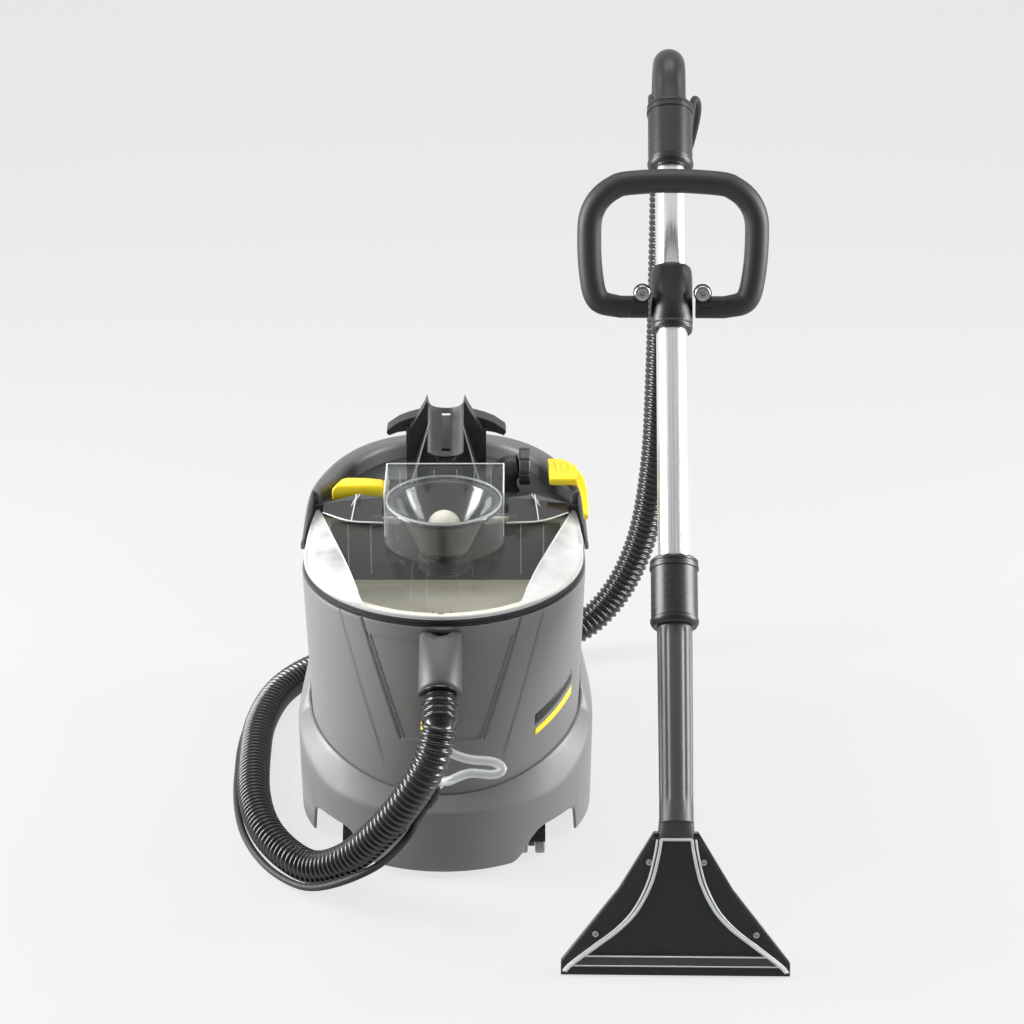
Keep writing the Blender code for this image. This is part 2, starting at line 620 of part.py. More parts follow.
# ---- machine: casters ---------------------------------------------------------------------
def rear_pivot():
    """The rear casters stand as far inside the wall as the front ones do."""
    wall = Vector(outline_at(math.radians(132), SKIRT_LOW - WALL))
    ahead = Vector(outline_at(math.radians(128), SKIRT_LOW - WALL))
    run = (wall - ahead).normalized()
    inward = Vector((-run.y, run.x))
    inward = inward if inward.dot(-wall) > 0 else -inward
    return wall + inward * 0.0315


def make_casters(machine):
    rear = rear_pivot()
    spots = {"front_left": (-CASTER_PIVOT[0], -CASTER_PIVOT[1], -1),
             "front_right": (CASTER_PIVOT[0], -CASTER_PIVOT[1], -1),
             "rear_left": (-rear.x, rear.y, 1),
             "rear_right": (rear.x, rear.y, 1)}
    for name, (x, y, facing) in spots.items():
        turn = Matrix.Rotation(0 if facing < 0 else math.pi, 4, "Z")
        pivot = empty("pivot_" + name, Matrix.Translation((x, y, 0)) @ turn, machine)
        axle = Matrix.Translation((0, -CASTER_TRAIL, WHEEL_RADIUS))
        web = [(0.008, 0.0395), (0.008, 0.0435), (-0.010, 0.0435), (-0.027, 0.036),
               (-0.031, 0.022), (-0.027, 0.011), (-0.017, 0.009), (-0.010, 0.014), (-0.005, 0.030)]
        fork = finish("caster_fork_" + name, prism(web, -FORK_HALF, FORK_HALF, "X"), BLACK, pivot)
        plate = finish("fork_plate", lathe([(0.016, 0.0415), (0.016, CHASSIS_Z - GAP)]), BLACK,
                       pivot)
        arc = [math.radians(35 + 130 * k / 12) for k in range(13)]
        over = [(0.0212 * math.cos(a), 0.0212 * math.sin(a)) for a in arc]
        over += [(0.0193 * math.cos(a), 0.0193 * math.sin(a)) for a in reversed(arc)]
        hood = [(y - CASTER_TRAIL, z + WHEEL_RADIUS) for y, z in over]
        shell = finish("fork_hood", prism(hood, -0.0155, 0.0155, "X"), BLACK, pivot)
        bore = finish("fork_bore", lathe([(0.0034, -0.02), (0.0034, 0.02)], 16), BLACK, pivot,
                      axle @ Matrix.Rotation(math.pi / 2, 4, "Y"))
        boolean(fork, "UNION", plate, shell)
        boolean(fork, "DIFFERENCE", bore)
        reach = FORK_HALF + 0.0006
        edge = reach + WHEEL_WIDTH
        r = WHEEL_RADIUS
        wheel = [(r - 0.002, -edge), (r, 0.0015 - edge), (r, -reach - 0.0015), (r - 0.002, -reach),
                 (0.0030, -reach), (0.0030, reach), (r - 0.002, reach), (r, reach + 0.0015),
                 (r, edge - 0.0015), (r - 0.002, edge)]
        finish("caster_wheel_" + name, lathe(wheel), BLACK, pivot,
               axle @ Matrix.Rotation(math.pi / 2, 4, "Y"))


# ---- wand ---------------------------------------------------------------------------------
def make_nozzle(wand):
    lean = empty("nozzle_frame", Matrix.Rotation(-NOZZLE_LEAN, 4, "X"), wand)
    half = NOZZLE_WIDTH / 2
    mouth = -0.008                          # cut level with the floor below
    back = [(-half, mouth), (half, mouth), (half, 0.014), (0.060, 0.090), (0.0235, NOZZLE_LENGTH),
            (-0.0235, NOZZLE_LENGTH), (-0.060, 0.090), (-half, 0.014)]
    shell = finish("nozzle_shell", prism(back, -0.0010, 0.0130, "Y"), BLACK, lean)
    inner = [(0.0045 - half, -0.02), (half - 0.0045, -0.02), (half - 0.0045, 0.012),
             (0.054, 0.090), (0.016, NOZZLE_LENGTH - 0.012), (-0.016, NOZZLE_LENGTH - 0.012),
             (-0.054, 0.090), (0.0045 - half, 0.012)]
    floor = finish("floor_cut", block((0.5, 0.3, 0.1), (0, 0, GAP - 0.05)), BLACK, wand)
    hollow = finish("nozzle_hollow", prism(inner, -0.01, 0.0100, "Y"), BLACK, lean)
    boolean(shell, "DIFFERENCE", hollow, floor)
    front = [(-half, mouth), (half, mouth), (half, 0.013), (0.060, 0.088), (0.024, 0.146),
             (-0.024, 0.146), (-0.060, 0.088), (-half, 0.013)]
    cover = finish("nozzle_cover", prism(front, -0.0055, -0.0013, "Y"), CLEAR, lean)
    ridges = []
    for side in (-1, 1):
        bead = [(side * 0.113, 0.018), (side * 0.108, 0.024), (side * 0.052, 0.078),
                (side * 0.027, 0.146), (side * 0.019, 0.146), (side * 0.044, 0.074)]
        ridges.append(finish("cover_ridge", prism(bead, -0.0085, -0.0050, "Y"), CLEAR, lean))
    lip = finish("cover_lip", block((2 * half, 0.004, 0.006), (0, -0.0075, 0.0062)), CLEAR, lean)
    boolean(cover, "UNION", lip, *ridges)
    boolean(cover, "DIFFERENCE", floor)


def make_tube(wand):
    start = Matrix.Translation((0, math.sin(NOZZLE_LEAN) * NOZZLE_LENGTH,
                                math.cos(NOZZLE_LEAN) * NOZZLE_LENGTH))
    axis = empty("tube_frame", start @ Matrix.Rotation(-TUBE_LEAN, 4, "X"), wand)
    neck = [(0.0130, 0.010), (0.0180, 0.010), (0.0192, NECK_END), (0.0130, NECK_END)]
    throat = finish("neck_tube", lathe(neck, 32, closed=True), BLACK, axis)
    clear = finish("neck_clear", block((0.08, 0.08, 0.030), (0, 0.010, -0.0085)), BLACK, axis)
    boolean(throat, "DIFFERENCE", clear)

    def union_nut(name, low, high):
        profile = [(0.0180, low), (NUT_RADIUS - 0.003, low), (NUT_RADIUS, low + 0.004),
                   (NUT_RADIUS, high - 0.004), (NUT_RADIUS - 0.003, high), (0.0180, high)]
        finish(name, lathe(profile, 32, closed=True), BLACK, axis)

    union_nut("lower_nut", NECK_END + GAP, LOWER_NUT_END)
    union_nut("upper_nut", TUBE_END + GAP, UPPER_NUT_END)
    steel = [(0.0163, LOWER_NUT_END - 0.060), (TUBE_RADIUS, LOWER_NUT_END - 0.060),
             (TUBE_RADIUS, UPPER_NUT_END - 0.030), (0.0163, UPPER_NUT_END - 0.030)]
    finish("suction_tube", lathe(steel, 32, closed=True), STEEL, axis)
    make_elbow(axis)
    make_d_handle(axis)
    return axis


def make_elbow(axis):
    low = UPPER_NUT_END + GAP
    bend = 0.034
    turn = low + 0.032
    outer, inner = [], []
    path = [(Vector((0, 0, low)), 0.0), (Vector((0, 0, turn)), 0.0)]
    for k in range(1, 11):
        a = math.radians(135) * k / 10
        path.append((Vector((0, bend * (1 - math.cos(a)), turn + bend * math.sin(a))), a))
    tip, a = path[-1]
    path.append((tip + Vector((0, math.sin(a), math.cos(a))) * 0.012, a))
    for spot, lean in path:
        along_x = Vector((1, 0, 0))
        side = Vector((0, math.cos(lean), -math.sin(lean)))
        for radius, rings in ((0.0192, outer), (0.0160, inner)):
            rings.append([spot + radius * (along_x * math.cos(t) + side * math.sin(t))
                          for t in (2 * math.pi * k / TURNED for k in range(TURNED))])
    finish("wand_elbow", loft(outer + inner[::-1], closed=True), BLACK, axis, sharp=50)
    spot, lean = path[-1]
    direction = Vector((0, math.sin(lean), math.cos(lean)))
    cuff = [(0.0160, 0.0), (0.0225, 0.0), (0.0225, 0.030), (0.0205, 0.034), (0.0160, 0.034)]
    finish("hose_cuff_wand", lathe(cuff, 32, closed=True), BLACK, axis,
           along(spot + direction * GAP, direction))


def make_d_handle(axis):
    """The grip loop and the clamp that holds it on the tube."""
    clamp = [(0.0178, CLAMP_LOW), (0.0225, CLAMP_LOW), (0.0235, CLAMP_LOW + 0.006),
             (0.0235, CLAMP_HIGH - 0.006), (0.0225, CLAMP_HIGH), (0.0178, CLAMP_HIGH)]
    finish("handle_clamp", lathe(clamp, 32, closed=True), BLACK, axis)
    middle = 0.5 * (CLAMP_LOW + CLAMP_HIGH)
    frame = empty("handle_frame", Matrix.Translation((0, -0.012, middle))
                  @ Matrix.Rotation(math.radians(33), 4, "X"), axis)
    wide, tall, corner = 0.0930, 0.1270, 0.045
    right = [(0.0560, -0.012), (0.080, -0.006), (0.0865, 0.004), (0.0900, 0.020),
             (wide, 0.060), (wide, tall - corner)]
    right += [(wide - corner + corner * math.cos(a), tall - corner + corner * math.sin(a))
              for a in (math.pi / 2 * k / 6 for k in range(1, 7))]
    path = [(0.0265, -0.012)] + right + [(-x, z) for x, z in reversed(right)] + [(-0.0265, -0.012)]
    rings = []
    for k, (x, z) in enumerate(path):
        run = Vector((1, 0))
        if 0 < k < len(path) - 1:
            run = (Vector(path[k + 1]) - Vector(path[k - 1])).normalized()
        normal = Vector((run.y, -run.x))
        thin = 0.0135 if abs(x) > 0.05 and z > 0.02 else 0.0125
        rings.append([(x + normal.x * thin * math.cos(t), 0.0130 * math.sin(t),
                       z + normal.y * thin * math.cos(t))
                      for t in (2 * math.pi * i / 16 for i in range(16))])
    finish("d_handle", loft(rings), BLACK, frame, sharp=50)


def make_spray(wand, axis):
    """The spray valve on the elbow, its lever, and the pipe down to the jet."""
    valve = block((0.018, 0.019, 0.046), bevel=0.002)
    finish("valve_body", valve, BLACK, axis, Matrix.Translation((0, 0.0371, 0.8320)))
    lever = block((0.012, 0.005, 0.070), (0, 0, -0.035), 0.0015)
    finish("spray_lever", lever, BLACK, axis, Matrix.Translation((0, 0.0502, 0.8560))
           @ Matrix.Rotation(LEVER_OPEN, 4, "X"))
    pipe = [(0, 0.0371, 0.8085), (0, 0.0371, 0.790), (0, 0.0340, 0.70), (0, 0.0340, 0.50),
            (0, 0.0340, 0.30), (0, 0.0340, 0.14), (0, 0.0325, 0.070), (0, 0.0325, 0.0505)]
    tube("spray_pipe", smooth_curve(pipe, 0.05), 0.003, STEEL, axis)
    finish("spray_jet", lathe([(0.0060, 0.0), (0.0060, 0.014), (0.0030, 0.020), (0.0005, 0.021)],
                              12), YELLOW, axis, along((0, 0.0325, 0.0497), (0, 0, -1)))


# ---- free hoses ---------------------------------------------------------------------------
HOSE_FLOOR = 0.0196
HOSE_ROUTE = [
    (-0.0080, -0.2560, 0.2050), (-0.0270, -0.2550, 0.1660), (-0.0580, -0.2430, 0.1150),
    (-0.0980, -0.2200, 0.0620), (-0.1380, -0.1880, 0.0280),
    (-0.1720, -0.1490, HOSE_FLOOR), (-0.2030, -0.0930, HOSE_FLOOR), (-0.2210, -0.0200, HOSE_FLOOR),
    (-0.2280, 0.0700, HOSE_FLOOR), (-0.2270, 0.1550, HOSE_FLOOR), (-0.2080, 0.2350, HOSE_FLOOR),
    (-0.1640, 0.2950, HOSE_FLOOR), (-0.0950, 0.3290, HOSE_FLOOR), (0.0000, 0.3420, HOSE_FLOOR),
    (0.0900, 0.3480, 0.0230), (0.1600, 0.3560, 0.0420), (0.2080, 0.3720, 0.0850),
    (0.2400, 0.3870, 0.1550), (0.2550, 0.3960, 0.2500), (0.2590, 0.4000, 0.3600),
    (0.2600, 0.4000, 0.4900), (0.2597, 0.3995, 0.6100)]


CLEAR_ROUTE = [
    (-0.0045, -0.1910, 0.1980), (-0.0020, -0.1990, 0.1930), (0.0080, -0.2050, 0.1840),
    (0.0300, -0.2090, 0.1770),
    (0.0560, -0.2110, 0.1750), (0.0660, -0.2160, 0.1690), (0.0560, -0.2190, 0.1640),
    (0.0300, -0.2200, 0.1660), (0.0080, -0.2190, 0.1560)]
JOINER_AT = Vector((-0.0050, -0.2170, 0.1450))
COUPLING_END = Vector((-0.0045, -0.1849, 0.1980))
LINE_AWAY = 0.0250             # from the hose's middle to the line's
LINE_LEAN = math.radians(54)   # how far the line lies outwards where both are on the floor
LINE_END = [
    (0.2640, 0.4440, 0.5200), (0.2780, 0.4420, 0.6000), (0.2930, 0.4250, 0.6700),
    (0.2960, 0.3930, 0.7150), (0.2880, 0.3600, 0.7330)]


def beside(points):
    """A line that follows a hose on its outer side, low enough to lie on the same floor."""
    side = Vector((0, -1, 0))
    found = []
    for k in range(1, len(points) - 1):
        run = (points[k + 1] - points[k - 1]).normalized()
        flat = Vector((0, 0, 1)).cross(run)
        if flat.length > 0.35:
            side = flat
        side = (side - run * side.dot(run)).normalized()
        lean = LINE_LEAN * (1 - ease(0.035, 0.100, points[k].z) * (points[k].y < 0))
        away = side * math.sin(lean) - run.cross(side) * math.cos(lean)
        found.append(points[k] + away * LINE_AWAY)
    return found


def make_hoses(machine, cuff_end, valve_port):
    start = PORT_MOUTH + PORT_AXIS * (CUFF_LENGTH + 3 * GAP)
    lead = start + PORT_AXIS * 0.018
    drop = cuff_end - Vector((0, 0, 0.030))
    route = [lead] + [Vector(p) for p in HOSE_ROUTE] + [drop]
    path = [start] + smooth_curve(route, 0.046) + [cuff_end]
    tube("suction_hose", path, HOSE_RADIUS, HOSE, machine, 3)

    follow = beside(smooth_curve(route, 0.023))
    first = next(k for k, p in enumerate(follow) if p.x < -0.036)
    last = next(k for k, p in enumerate(follow) if p.x > 0.2 and p.z > 0.43)
    axis = (follow[first] - JOINER_AT).normalized()
    clear = [Vector(p) for p in CLEAR_ROUTE] + [JOINER_AT - axis * 0.010]
    path = [COUPLING_END] + smooth_curve(clear, 0.0125) + [JOINER_AT]
    tube("clear_spray_tube", path, CLEAR_RADIUS, CLEAR, machine, 2)
    barrel = [(0.0005, 0.0), (0.0062, 0.0), (0.0062, 0.022), (0.0005, 0.022)]
    finish("line_joiner", lathe(barrel, 12), BLACK, machine, along(JOINER_AT + axis * GAP, axis))
    out = JOINER_AT + axis * (0.022 + 2 * GAP)
    line = [out + axis * 0.012] + follow[first:last:2] + [Vector(p) for p in LINE_END]
    line.append(valve_port + Vector((0.012, 0, 0)))
    tube("spray_line", [out] + smooth_curve(line, 0.033) + [valve_port], LINE_RADIUS, RUBBER,
         machine, 2)


def build():
    machine = empty("machine", Matrix.Translation(MACHINE))
    wand = empty("wand", Matrix.Translation(WAND) @ Matrix.Rotation(WAND_TURN, 4, "Z"))
    make_housing(machine)
    make_dirty_tank(machine)
    make_head(machine)
    make_holder(machine)
    make_inside(machine)
    make_port(machine)
    make_casters(machine)
    make_nozzle(wand)
    axis = make_tube(wand)
    make_spray(wand, axis)
    bpy.context.view_layer.update()
    cuff = bpy.data.objects["hose_cuff_wand"].matrix_world
    end = cuff @ Vector((0, 0, 0.034 + 3 * GAP)) - Vector(MACHINE)
    valve = bpy.data.objects["valve_body"].matrix_world
    port = valve @ Vector((0.0090 + 3 * GAP, 0, 0)) - Vector(MACHINE)
    make_hoses(machine, end, port)


build()
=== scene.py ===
import json
import math

import bmesh
import bpy
from mathutils import Matrix, Vector


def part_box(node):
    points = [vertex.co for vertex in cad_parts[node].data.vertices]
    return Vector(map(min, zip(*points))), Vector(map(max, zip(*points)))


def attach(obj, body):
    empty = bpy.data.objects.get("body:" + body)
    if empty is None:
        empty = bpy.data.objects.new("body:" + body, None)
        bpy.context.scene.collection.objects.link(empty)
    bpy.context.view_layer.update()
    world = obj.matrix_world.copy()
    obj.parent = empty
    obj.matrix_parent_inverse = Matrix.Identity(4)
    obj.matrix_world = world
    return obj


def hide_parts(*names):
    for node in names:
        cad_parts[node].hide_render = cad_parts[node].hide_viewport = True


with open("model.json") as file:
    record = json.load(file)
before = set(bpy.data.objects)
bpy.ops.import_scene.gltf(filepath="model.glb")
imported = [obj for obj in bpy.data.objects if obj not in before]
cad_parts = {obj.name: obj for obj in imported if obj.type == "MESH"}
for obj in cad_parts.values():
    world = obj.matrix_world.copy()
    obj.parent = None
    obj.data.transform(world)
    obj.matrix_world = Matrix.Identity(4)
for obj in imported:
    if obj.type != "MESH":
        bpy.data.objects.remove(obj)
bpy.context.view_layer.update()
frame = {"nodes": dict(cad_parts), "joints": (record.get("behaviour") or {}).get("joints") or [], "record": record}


# ---- places read from the frame ----------------------------------------------------------
def corners(node):
    low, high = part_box(node)
    return Vector(low), Vector(high)


def joint(name):
    return next(j for j in frame["joints"] if j["name"] == name)


tank_low, tank_high = corners("fresh_water_tank")
TANK_RIM = 0.5 * (tank_high.x - tank_low.x)
RIM_Z = tank_high.z
MACHINE = Vector((0.5 * (tank_low.x + tank_high.x), tank_low.y + TANK_RIM, 0.0))
skirt_low, skirt_high = corners("base_skirt")
SKIRT_WIDE = 0.5 * (skirt_high.x - skirt_low.x)
SKIRT_LOW = SKIRT_WIDE - 0.002
FLOOR_GAP = skirt_low.z
REAR_EXTRA = (tank_high.y - tank_low.y) - 2 * TANK_RIM
REAR_POWER = 2.5
TANK_FLOOR_Z = tank_low.z
TANK_LOW = TANK_RIM - 0.0095
WALL = 0.003
GAP = 0.0003
seal_low, seal_high = corners("tank_seal")
COVER_HALF = 0.5 * (seal_high.x - seal_low.x)
COVER_BACK = seal_high.y - MACHINE.y
SEAL_TOP_Z = seal_high.z
HEAD_FRONT = corners("motor_head")[0].y - MACHINE.y
HEAD_DECK_Z = corners("motor_head")[1].z
HANDLE_TOP = corners("carry_handle")[1].z
TURRET_TOP = corners("clear_cover")[1].z
TURRET_RADIUS = 0.067
TURRET_Y = 0.026

TUBE_START = Vector(joint("lower_nut_turn")["pos_m"])
TUBE_AXIS = Vector(joint("lower_nut_turn")["axis"]).normalized()
WAND_X = Vector(joint("lever_press")["axis"]).normalized() * -1.0
TUBE_DOWN = TUBE_AXIS.cross(WAND_X).normalized()
TUBE = Matrix.Translation(TUBE_START) @ Matrix((WAND_X, TUBE_DOWN, TUBE_AXIS)).transposed().to_4x4()
PORT_AXIS = Vector(joint("cuff_swivel_machine")["axis"]).normalized()
PORT_MOUTH = Vector(joint("cuff_swivel_machine")["pos_m"]) - PORT_AXIS * GAP


# ---- modelling helpers -------------------------------------------------------------------
def finish_mesh(name, bm, material, body="root", replaces=(), matrix=None, sharp=32.0):
    """A mesh piece that rides on a body and stands for CAD nodes."""
    bmesh.ops.remove_doubles(bm, verts=bm.verts, dist=0.000005)
    bmesh.ops.recalc_face_normals(bm, faces=bm.faces)
    mesh = bpy.data.meshes.new(name)
    bm.to_mesh(mesh)
    bm.free()
    mesh.materials.append(material)
    mesh.shade_smooth()
    mesh.set_sharp_from_angle(angle=math.radians(sharp))
    obj = bpy.data.objects.new(name, mesh)
    bpy.context.collection.objects.link(obj)
    if matrix is not None:
        mesh.transform(matrix)
    if body:
        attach(obj, body)
        if replaces:
            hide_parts(*replaces)
    return obj


def loft(rings, closed=False, caps=True):
    bm = bmesh.new()
    rows = [[bm.verts.new(p) for p in ring] for ring in rings]
    pairs = list(zip(rows, rows[1:]))
    if closed:
        pairs.append((rows[-1], rows[0]))
    for low, high in pairs:
        for i in range(len(low)):
            j = (i + 1) % len(low)
            bm.faces.new((low[i], low[j], high[j], high[i]))
    if not closed and caps:
        bm.faces.new(rows[0][::-1])
        bm.faces.new(rows[-1])
    return bm


def lathe(profile, sides=64, closed=False):
    turn = [2 * math.pi * k / sides for k in range(sides)]
    rings = [[(r * math.cos(a), r * math.sin(a), z) for a in turn] for r, z in profile]
    return loft(rings, closed)


def block(size, at=(0, 0, 0)):
    bm = bmesh.new()
    place = Matrix.Translation(at) @ Matrix.Diagonal((*size, 1))
    bmesh.ops.create_cube(bm, size=1.0, matrix=place)
    return bm


def prism(outline, low, high, axis="Z"):
    place = {"Z": lambda a, b, c: (a, b, c), "Y": lambda a, b, c: (a, c, b),
             "X": lambda a, b, c: (c, a, b)}[axis]
    return loft([[place(a, b, c) for a, b in outline] for c in (low, high)])


def along(at, direction):
    turn = Vector(direction).to_track_quat("Z", "Y").to_matrix().to_4x4()
    return Matrix.Translation(at) @ turn


def join_shapes(*shapes):
    """Puts several bmeshes, each with its own place, into one."""
    whole = bmesh.new()
    for bm, matrix in shapes:
        bm.transform(matrix)
        mesh = bpy.data.meshes.new("part")
        bm.to_mesh(mesh)
        bm.free()
        whole.from_mesh(mesh)
        bpy.data.meshes.remove(mesh)
    return whole


def apply_booleans(obj, steps):
    """Cuts or joins and keeps the result as plain mesh."""
    tools = []
    for operation, tool in steps:
        modifier = obj.modifiers.new(operation.lower(), "BOOLEAN")
        modifier.operation = operation
        modifier.solver = "EXACT"
        modifier.object = tool
        tools.append(tool)
    bpy.context.view_layer.update()
    deps = bpy.context.evaluated_depsgraph_get()
    mesh = bpy.data.meshes.new_from_object(obj.evaluated_get(deps))
    obj.modifiers.clear()
    old = obj.data
    obj.data = mesh
    bpy.data.meshes.remove(old)
    for tool in set(tools):
        bpy.data.objects.remove(tool, do_unlink=True)
    return obj


def add_bevel(obj, width, segments=2, angle=30.0):
    edge = obj.modifiers.new("edge", "BEVEL")
    edge.width = width
    edge.segments = segments
    edge.limit_method = "ANGLE"
    edge.angle_limit = math.radians(angle)
    edge.harden_normals = True
    return obj


def smooth_curve(points, spacing):
    route = [Vector(p) for p in points]
    route = [2 * route[0] - route[1]] + route + [2 * route[-1] - route[-2]]
    fine = []
    for a, b, c, d in zip(route, route[1:], route[2:], route[3:]):
        for k in range(24):
            t = k / 24
            fine.append(0.5 * (2 * b + (c - a) * t + (2 * a - 5 * b + 4 * c - d) * t * t
                               + (3 * b - a - 3 * c + d) * t ** 3))
    fine.append(route[-2])
    run = [0.0]
    for p, q in zip(fine, fine[1:]):
        run.append(run[-1] + (q - p).length)
    count = max(2, round(run[-1] / spacing))
    even = []
    k = 0
    for step in range(count + 1):
        want = run[-1] * step / count
        while k < len(run) - 2 and run[k + 1] < want:
            k += 1
        part = (want - run[k]) / (run[k + 1] - run[k])
        even.append(fine[k].lerp(fine[k + 1], part))
    return even


def path_length(points):
    return sum((q - p).length for p, q in zip(points, points[1:]))


def sweep(points, profile, sides):
    """Rings along a path; profile(distance) gives the radius. Frames are carried along without twist."""
    side = None
    rings = []
    run = 0.0
    for k, spot in enumerate(points):
        ahead = points[min(k + 1, len(points) - 1)] - points[max(k - 1, 0)]
        ahead.normalize()
        if k:
            run += (spot - points[k - 1]).length
        if side is None:
            side = ahead.orthogonal().normalized()
        side = (side - ahead * side.dot(ahead)).normalized()
        other = ahead.cross(side)
        radius = profile(run)
        rings.append([spot + radius * (side * math.cos(t) + other * math.sin(t))
                      for t in (2 * math.pi * i / sides for i in range(sides))])
    return loft(rings)


# ---- outline of the body -----------------------------------------------------------------
def outline_at(angle, half):
    s, c = math.sin(angle), -math.cos(angle)
    if c <= 0:
        return (half * s, half * c)
    bend = 2 / REAR_POWER
    return (half * math.copysign(abs(s) ** bend, s), (half + REAR_EXTRA) * c ** bend)


def angle_where(y, half):
    return math.pi / 2 + math.asin((y / (half + REAR_EXTRA)) ** (REAR_POWER / 2))


def front_ring(half, back, z, count=96):
    end = angle_where(back, half)
    return [(*outline_at(-end + 2 * end * k / count, half), z) for k in range(count + 1)]


def rear_ring(half, front, z, count=72):
    start = angle_where(front, half)
    reach = 2 * (math.pi - start)
    return [(*outline_at(start + reach * k / count, half), z) for k in range(count + 1)]


def tank_half(z):
    return TANK_LOW + (TANK_RIM - TANK_LOW) * (z - TANK_FLOOR_Z) / (RIM_Z - TANK_FLOOR_Z)


def ease(low, high, value):
    t = min(1.0, max(0.0, (value - low) / (high - low)))
    return t * t * (3 - 2 * t)


M = Matrix.Translation(MACHINE)


def tool(bm, matrix=M):
    """A shape that cuts or joins another and isn't kept."""
    return finish_mesh("tool", bm, GREY, None, matrix=matrix)


# ---- materials ---------------------------------------------------------------------------
def new_material(name):
    material = bpy.data.materials.new(name)
    material.use_nodes = True
    return material, material.node_tree, material.node_tree.nodes["Principled BSDF"]


def feed(tree, socket, value):
    """Joins an output to the socket, or sets the socket's own value."""
    if isinstance(value, bpy.types.NodeSocket):
        tree.links.new(value, socket)
    else:
        socket.default_value = value


def node(tree, kind, *inputs, out=0, **settings):
    """Adds a node, fills its inputs in order or by name, and gives back one of its outputs."""
    made = tree.nodes.new(kind)
    for key, value in settings.items():
        name = key.replace("_", " ")
        if name in made.inputs:
            feed(tree, made.inputs[name], value)
        else:
            setattr(made, key, value)
    for socket, value in zip(made.inputs, inputs):
        if value is not None:
            feed(tree, socket, value)
    return made.outputs[out]


def scale_range(tree, value, low=0.0, high=1.0, start=0.0, end=1.0):
    """Maps the stretch from start to end onto the stretch from low to high."""
    return node(tree, "ShaderNodeMapRange", value, start, end, low, high)


def blend_colours(tree, share, first, second):
    """Mixes two colours; the inputs 6 and 7 of a Mix node are its colours."""
    colours = node(tree, "ShaderNodeMix", share, data_type="RGBA", out=2)
    feed(tree, colours.node.inputs[6], first)
    feed(tree, colours.node.inputs[7], second)
    return colours


def moulded(name, colour, roughness, grain=900.0, bump=0.12, vary=0.12, wear=0.25, worn=None, coat=0.0):
    """Injection-moulded plastic: fine grain, slow shade changes and paler, rubbed edges."""
    material, tree, shader = new_material(name)
    place = node(tree, "ShaderNodeTexCoord", out="Object")
    slow = node(tree, "ShaderNodeTexNoise", place, Scale=7.0, Detail=3.0)
    fine = node(tree, "ShaderNodeTexNoise", place, Scale=grain, Detail=2.0)
    scuff = node(tree, "ShaderNodeTexNoise", place, Scale=55.0, Detail=6.0, Roughness=0.7)
    tint = blend_colours(tree, slow, (*[c * (1 - vary) for c in colour], 1),
                         (*[min(1.0, c * (1 + vary)) for c in colour], 1))
    edge = scale_range(tree, node(tree, "ShaderNodeNewGeometry", out="Pointiness"), start=0.53, end=0.62)
    rub = node(tree, "ShaderNodeMath", edge, scuff, operation="MULTIPLY")
    amount = node(tree, "ShaderNodeMath", rub, wear, operation="MULTIPLY")
    light = worn or tuple(min(1.0, c * 1.9 + 0.03) for c in colour)
    feed(tree, shader.inputs["Base Color"], blend_colours(tree, amount, tint, (*light, 1)))
    feed(tree, shader.inputs["Roughness"], scale_range(tree, scuff, roughness - 0.06, roughness + 0.08))
    lift = node(tree, "ShaderNodeBump", Strength=bump, Distance=0.0004, Height=fine)
    feed(tree, shader.inputs["Normal"], lift)
    shader.inputs["Coat Weight"].default_value = coat
    shader.inputs["Coat Roughness"].default_value = 0.12
    return material


def clear_plastic(name, haze=0.02, rim=0.42, tint=(0.97, 0.98, 0.98), roughness=0.04, shine=1.0, sides=0.0):
    """Thin clear moulding: see-through, mirrors by angle, milky where it is seen edge-on.

    sides is a painted highlight: extra white haze on the facets that lean to the left or right, standing in for
    the side lamps mirrored in them.
    """
    material, tree, shader = new_material(name)
    place = node(tree, "ShaderNodeTexCoord", out="Object")
    flow = node(tree, "ShaderNodeTexNoise", place, Scale=16.0, Detail=4.0)
    wave = node(tree, "ShaderNodeBump", Strength=0.10, Distance=0.002, Height=flow)
    shader.inputs["Base Color"].default_value = (0.86, 0.88, 0.88, 1)
    shader.inputs["Roughness"].default_value = 0.35
    facing = node(tree, "ShaderNodeLayerWeight", Blend=0.30, out="Facing")
    edge = node(tree, "ShaderNodeMath", facing, 5.0, operation="POWER")
    milky = scale_range(tree, edge, haze, rim)
    # Painted highlight: facets that lean to the left or right get extra white haze, less on upright walls and
    # streaked by noise, as if lit by the side lamps.
    normal = node(tree, "ShaderNodeNewGeometry", out="True Normal")
    across = node(tree, "ShaderNodeSeparateXYZ", normal, out="X")
    leaning = node(tree, "ShaderNodeMath", across, operation="ABSOLUTE")
    side_highlight = scale_range(tree, leaning, 0.0, sides, 0.03, 0.11)
    upward = node(tree, "ShaderNodeMath", across.node.outputs["Z"], operation="ABSOLUTE")
    upright = scale_range(tree, upward, 0.05, 1.0, 0.0, 0.45)
    lean = node(tree, "ShaderNodeMath", side_highlight, upright, operation="MULTIPLY")
    cloud = scale_range(tree, flow, 0.35, 1.0, 0.30, 0.66)
    # Milky edge haze plus the painted side highlight.
    haze_and_highlight = node(tree, "ShaderNodeMath", lean, cloud, milky, operation="MULTIPLY_ADD", use_clamp=True)
    through = node(tree, "ShaderNodeBsdfTransparent", (*tint, 1))
    body = node(tree, "ShaderNodeMixShader", haze_and_highlight, through, shader.outputs["BSDF"])
    rough = scale_range(tree, flow, roughness, roughness + 0.05)
    mirror = node(tree, "ShaderNodeBsdfGlossy", Roughness=rough, Normal=wave)
    flat = node(tree, "ShaderNodeLayerWeight", Blend=0.5, out="Facing")
    steep = node(tree, "ShaderNodeMath", flat, 6.0, operation="POWER")
    strength = scale_range(tree, steep, 0.028 * shine, 0.60)
    whole = node(tree, "ShaderNodeMixShader", strength, body, mirror)
    feed(tree, tree.nodes["Material Output"].inputs["Surface"], whole)
    return material


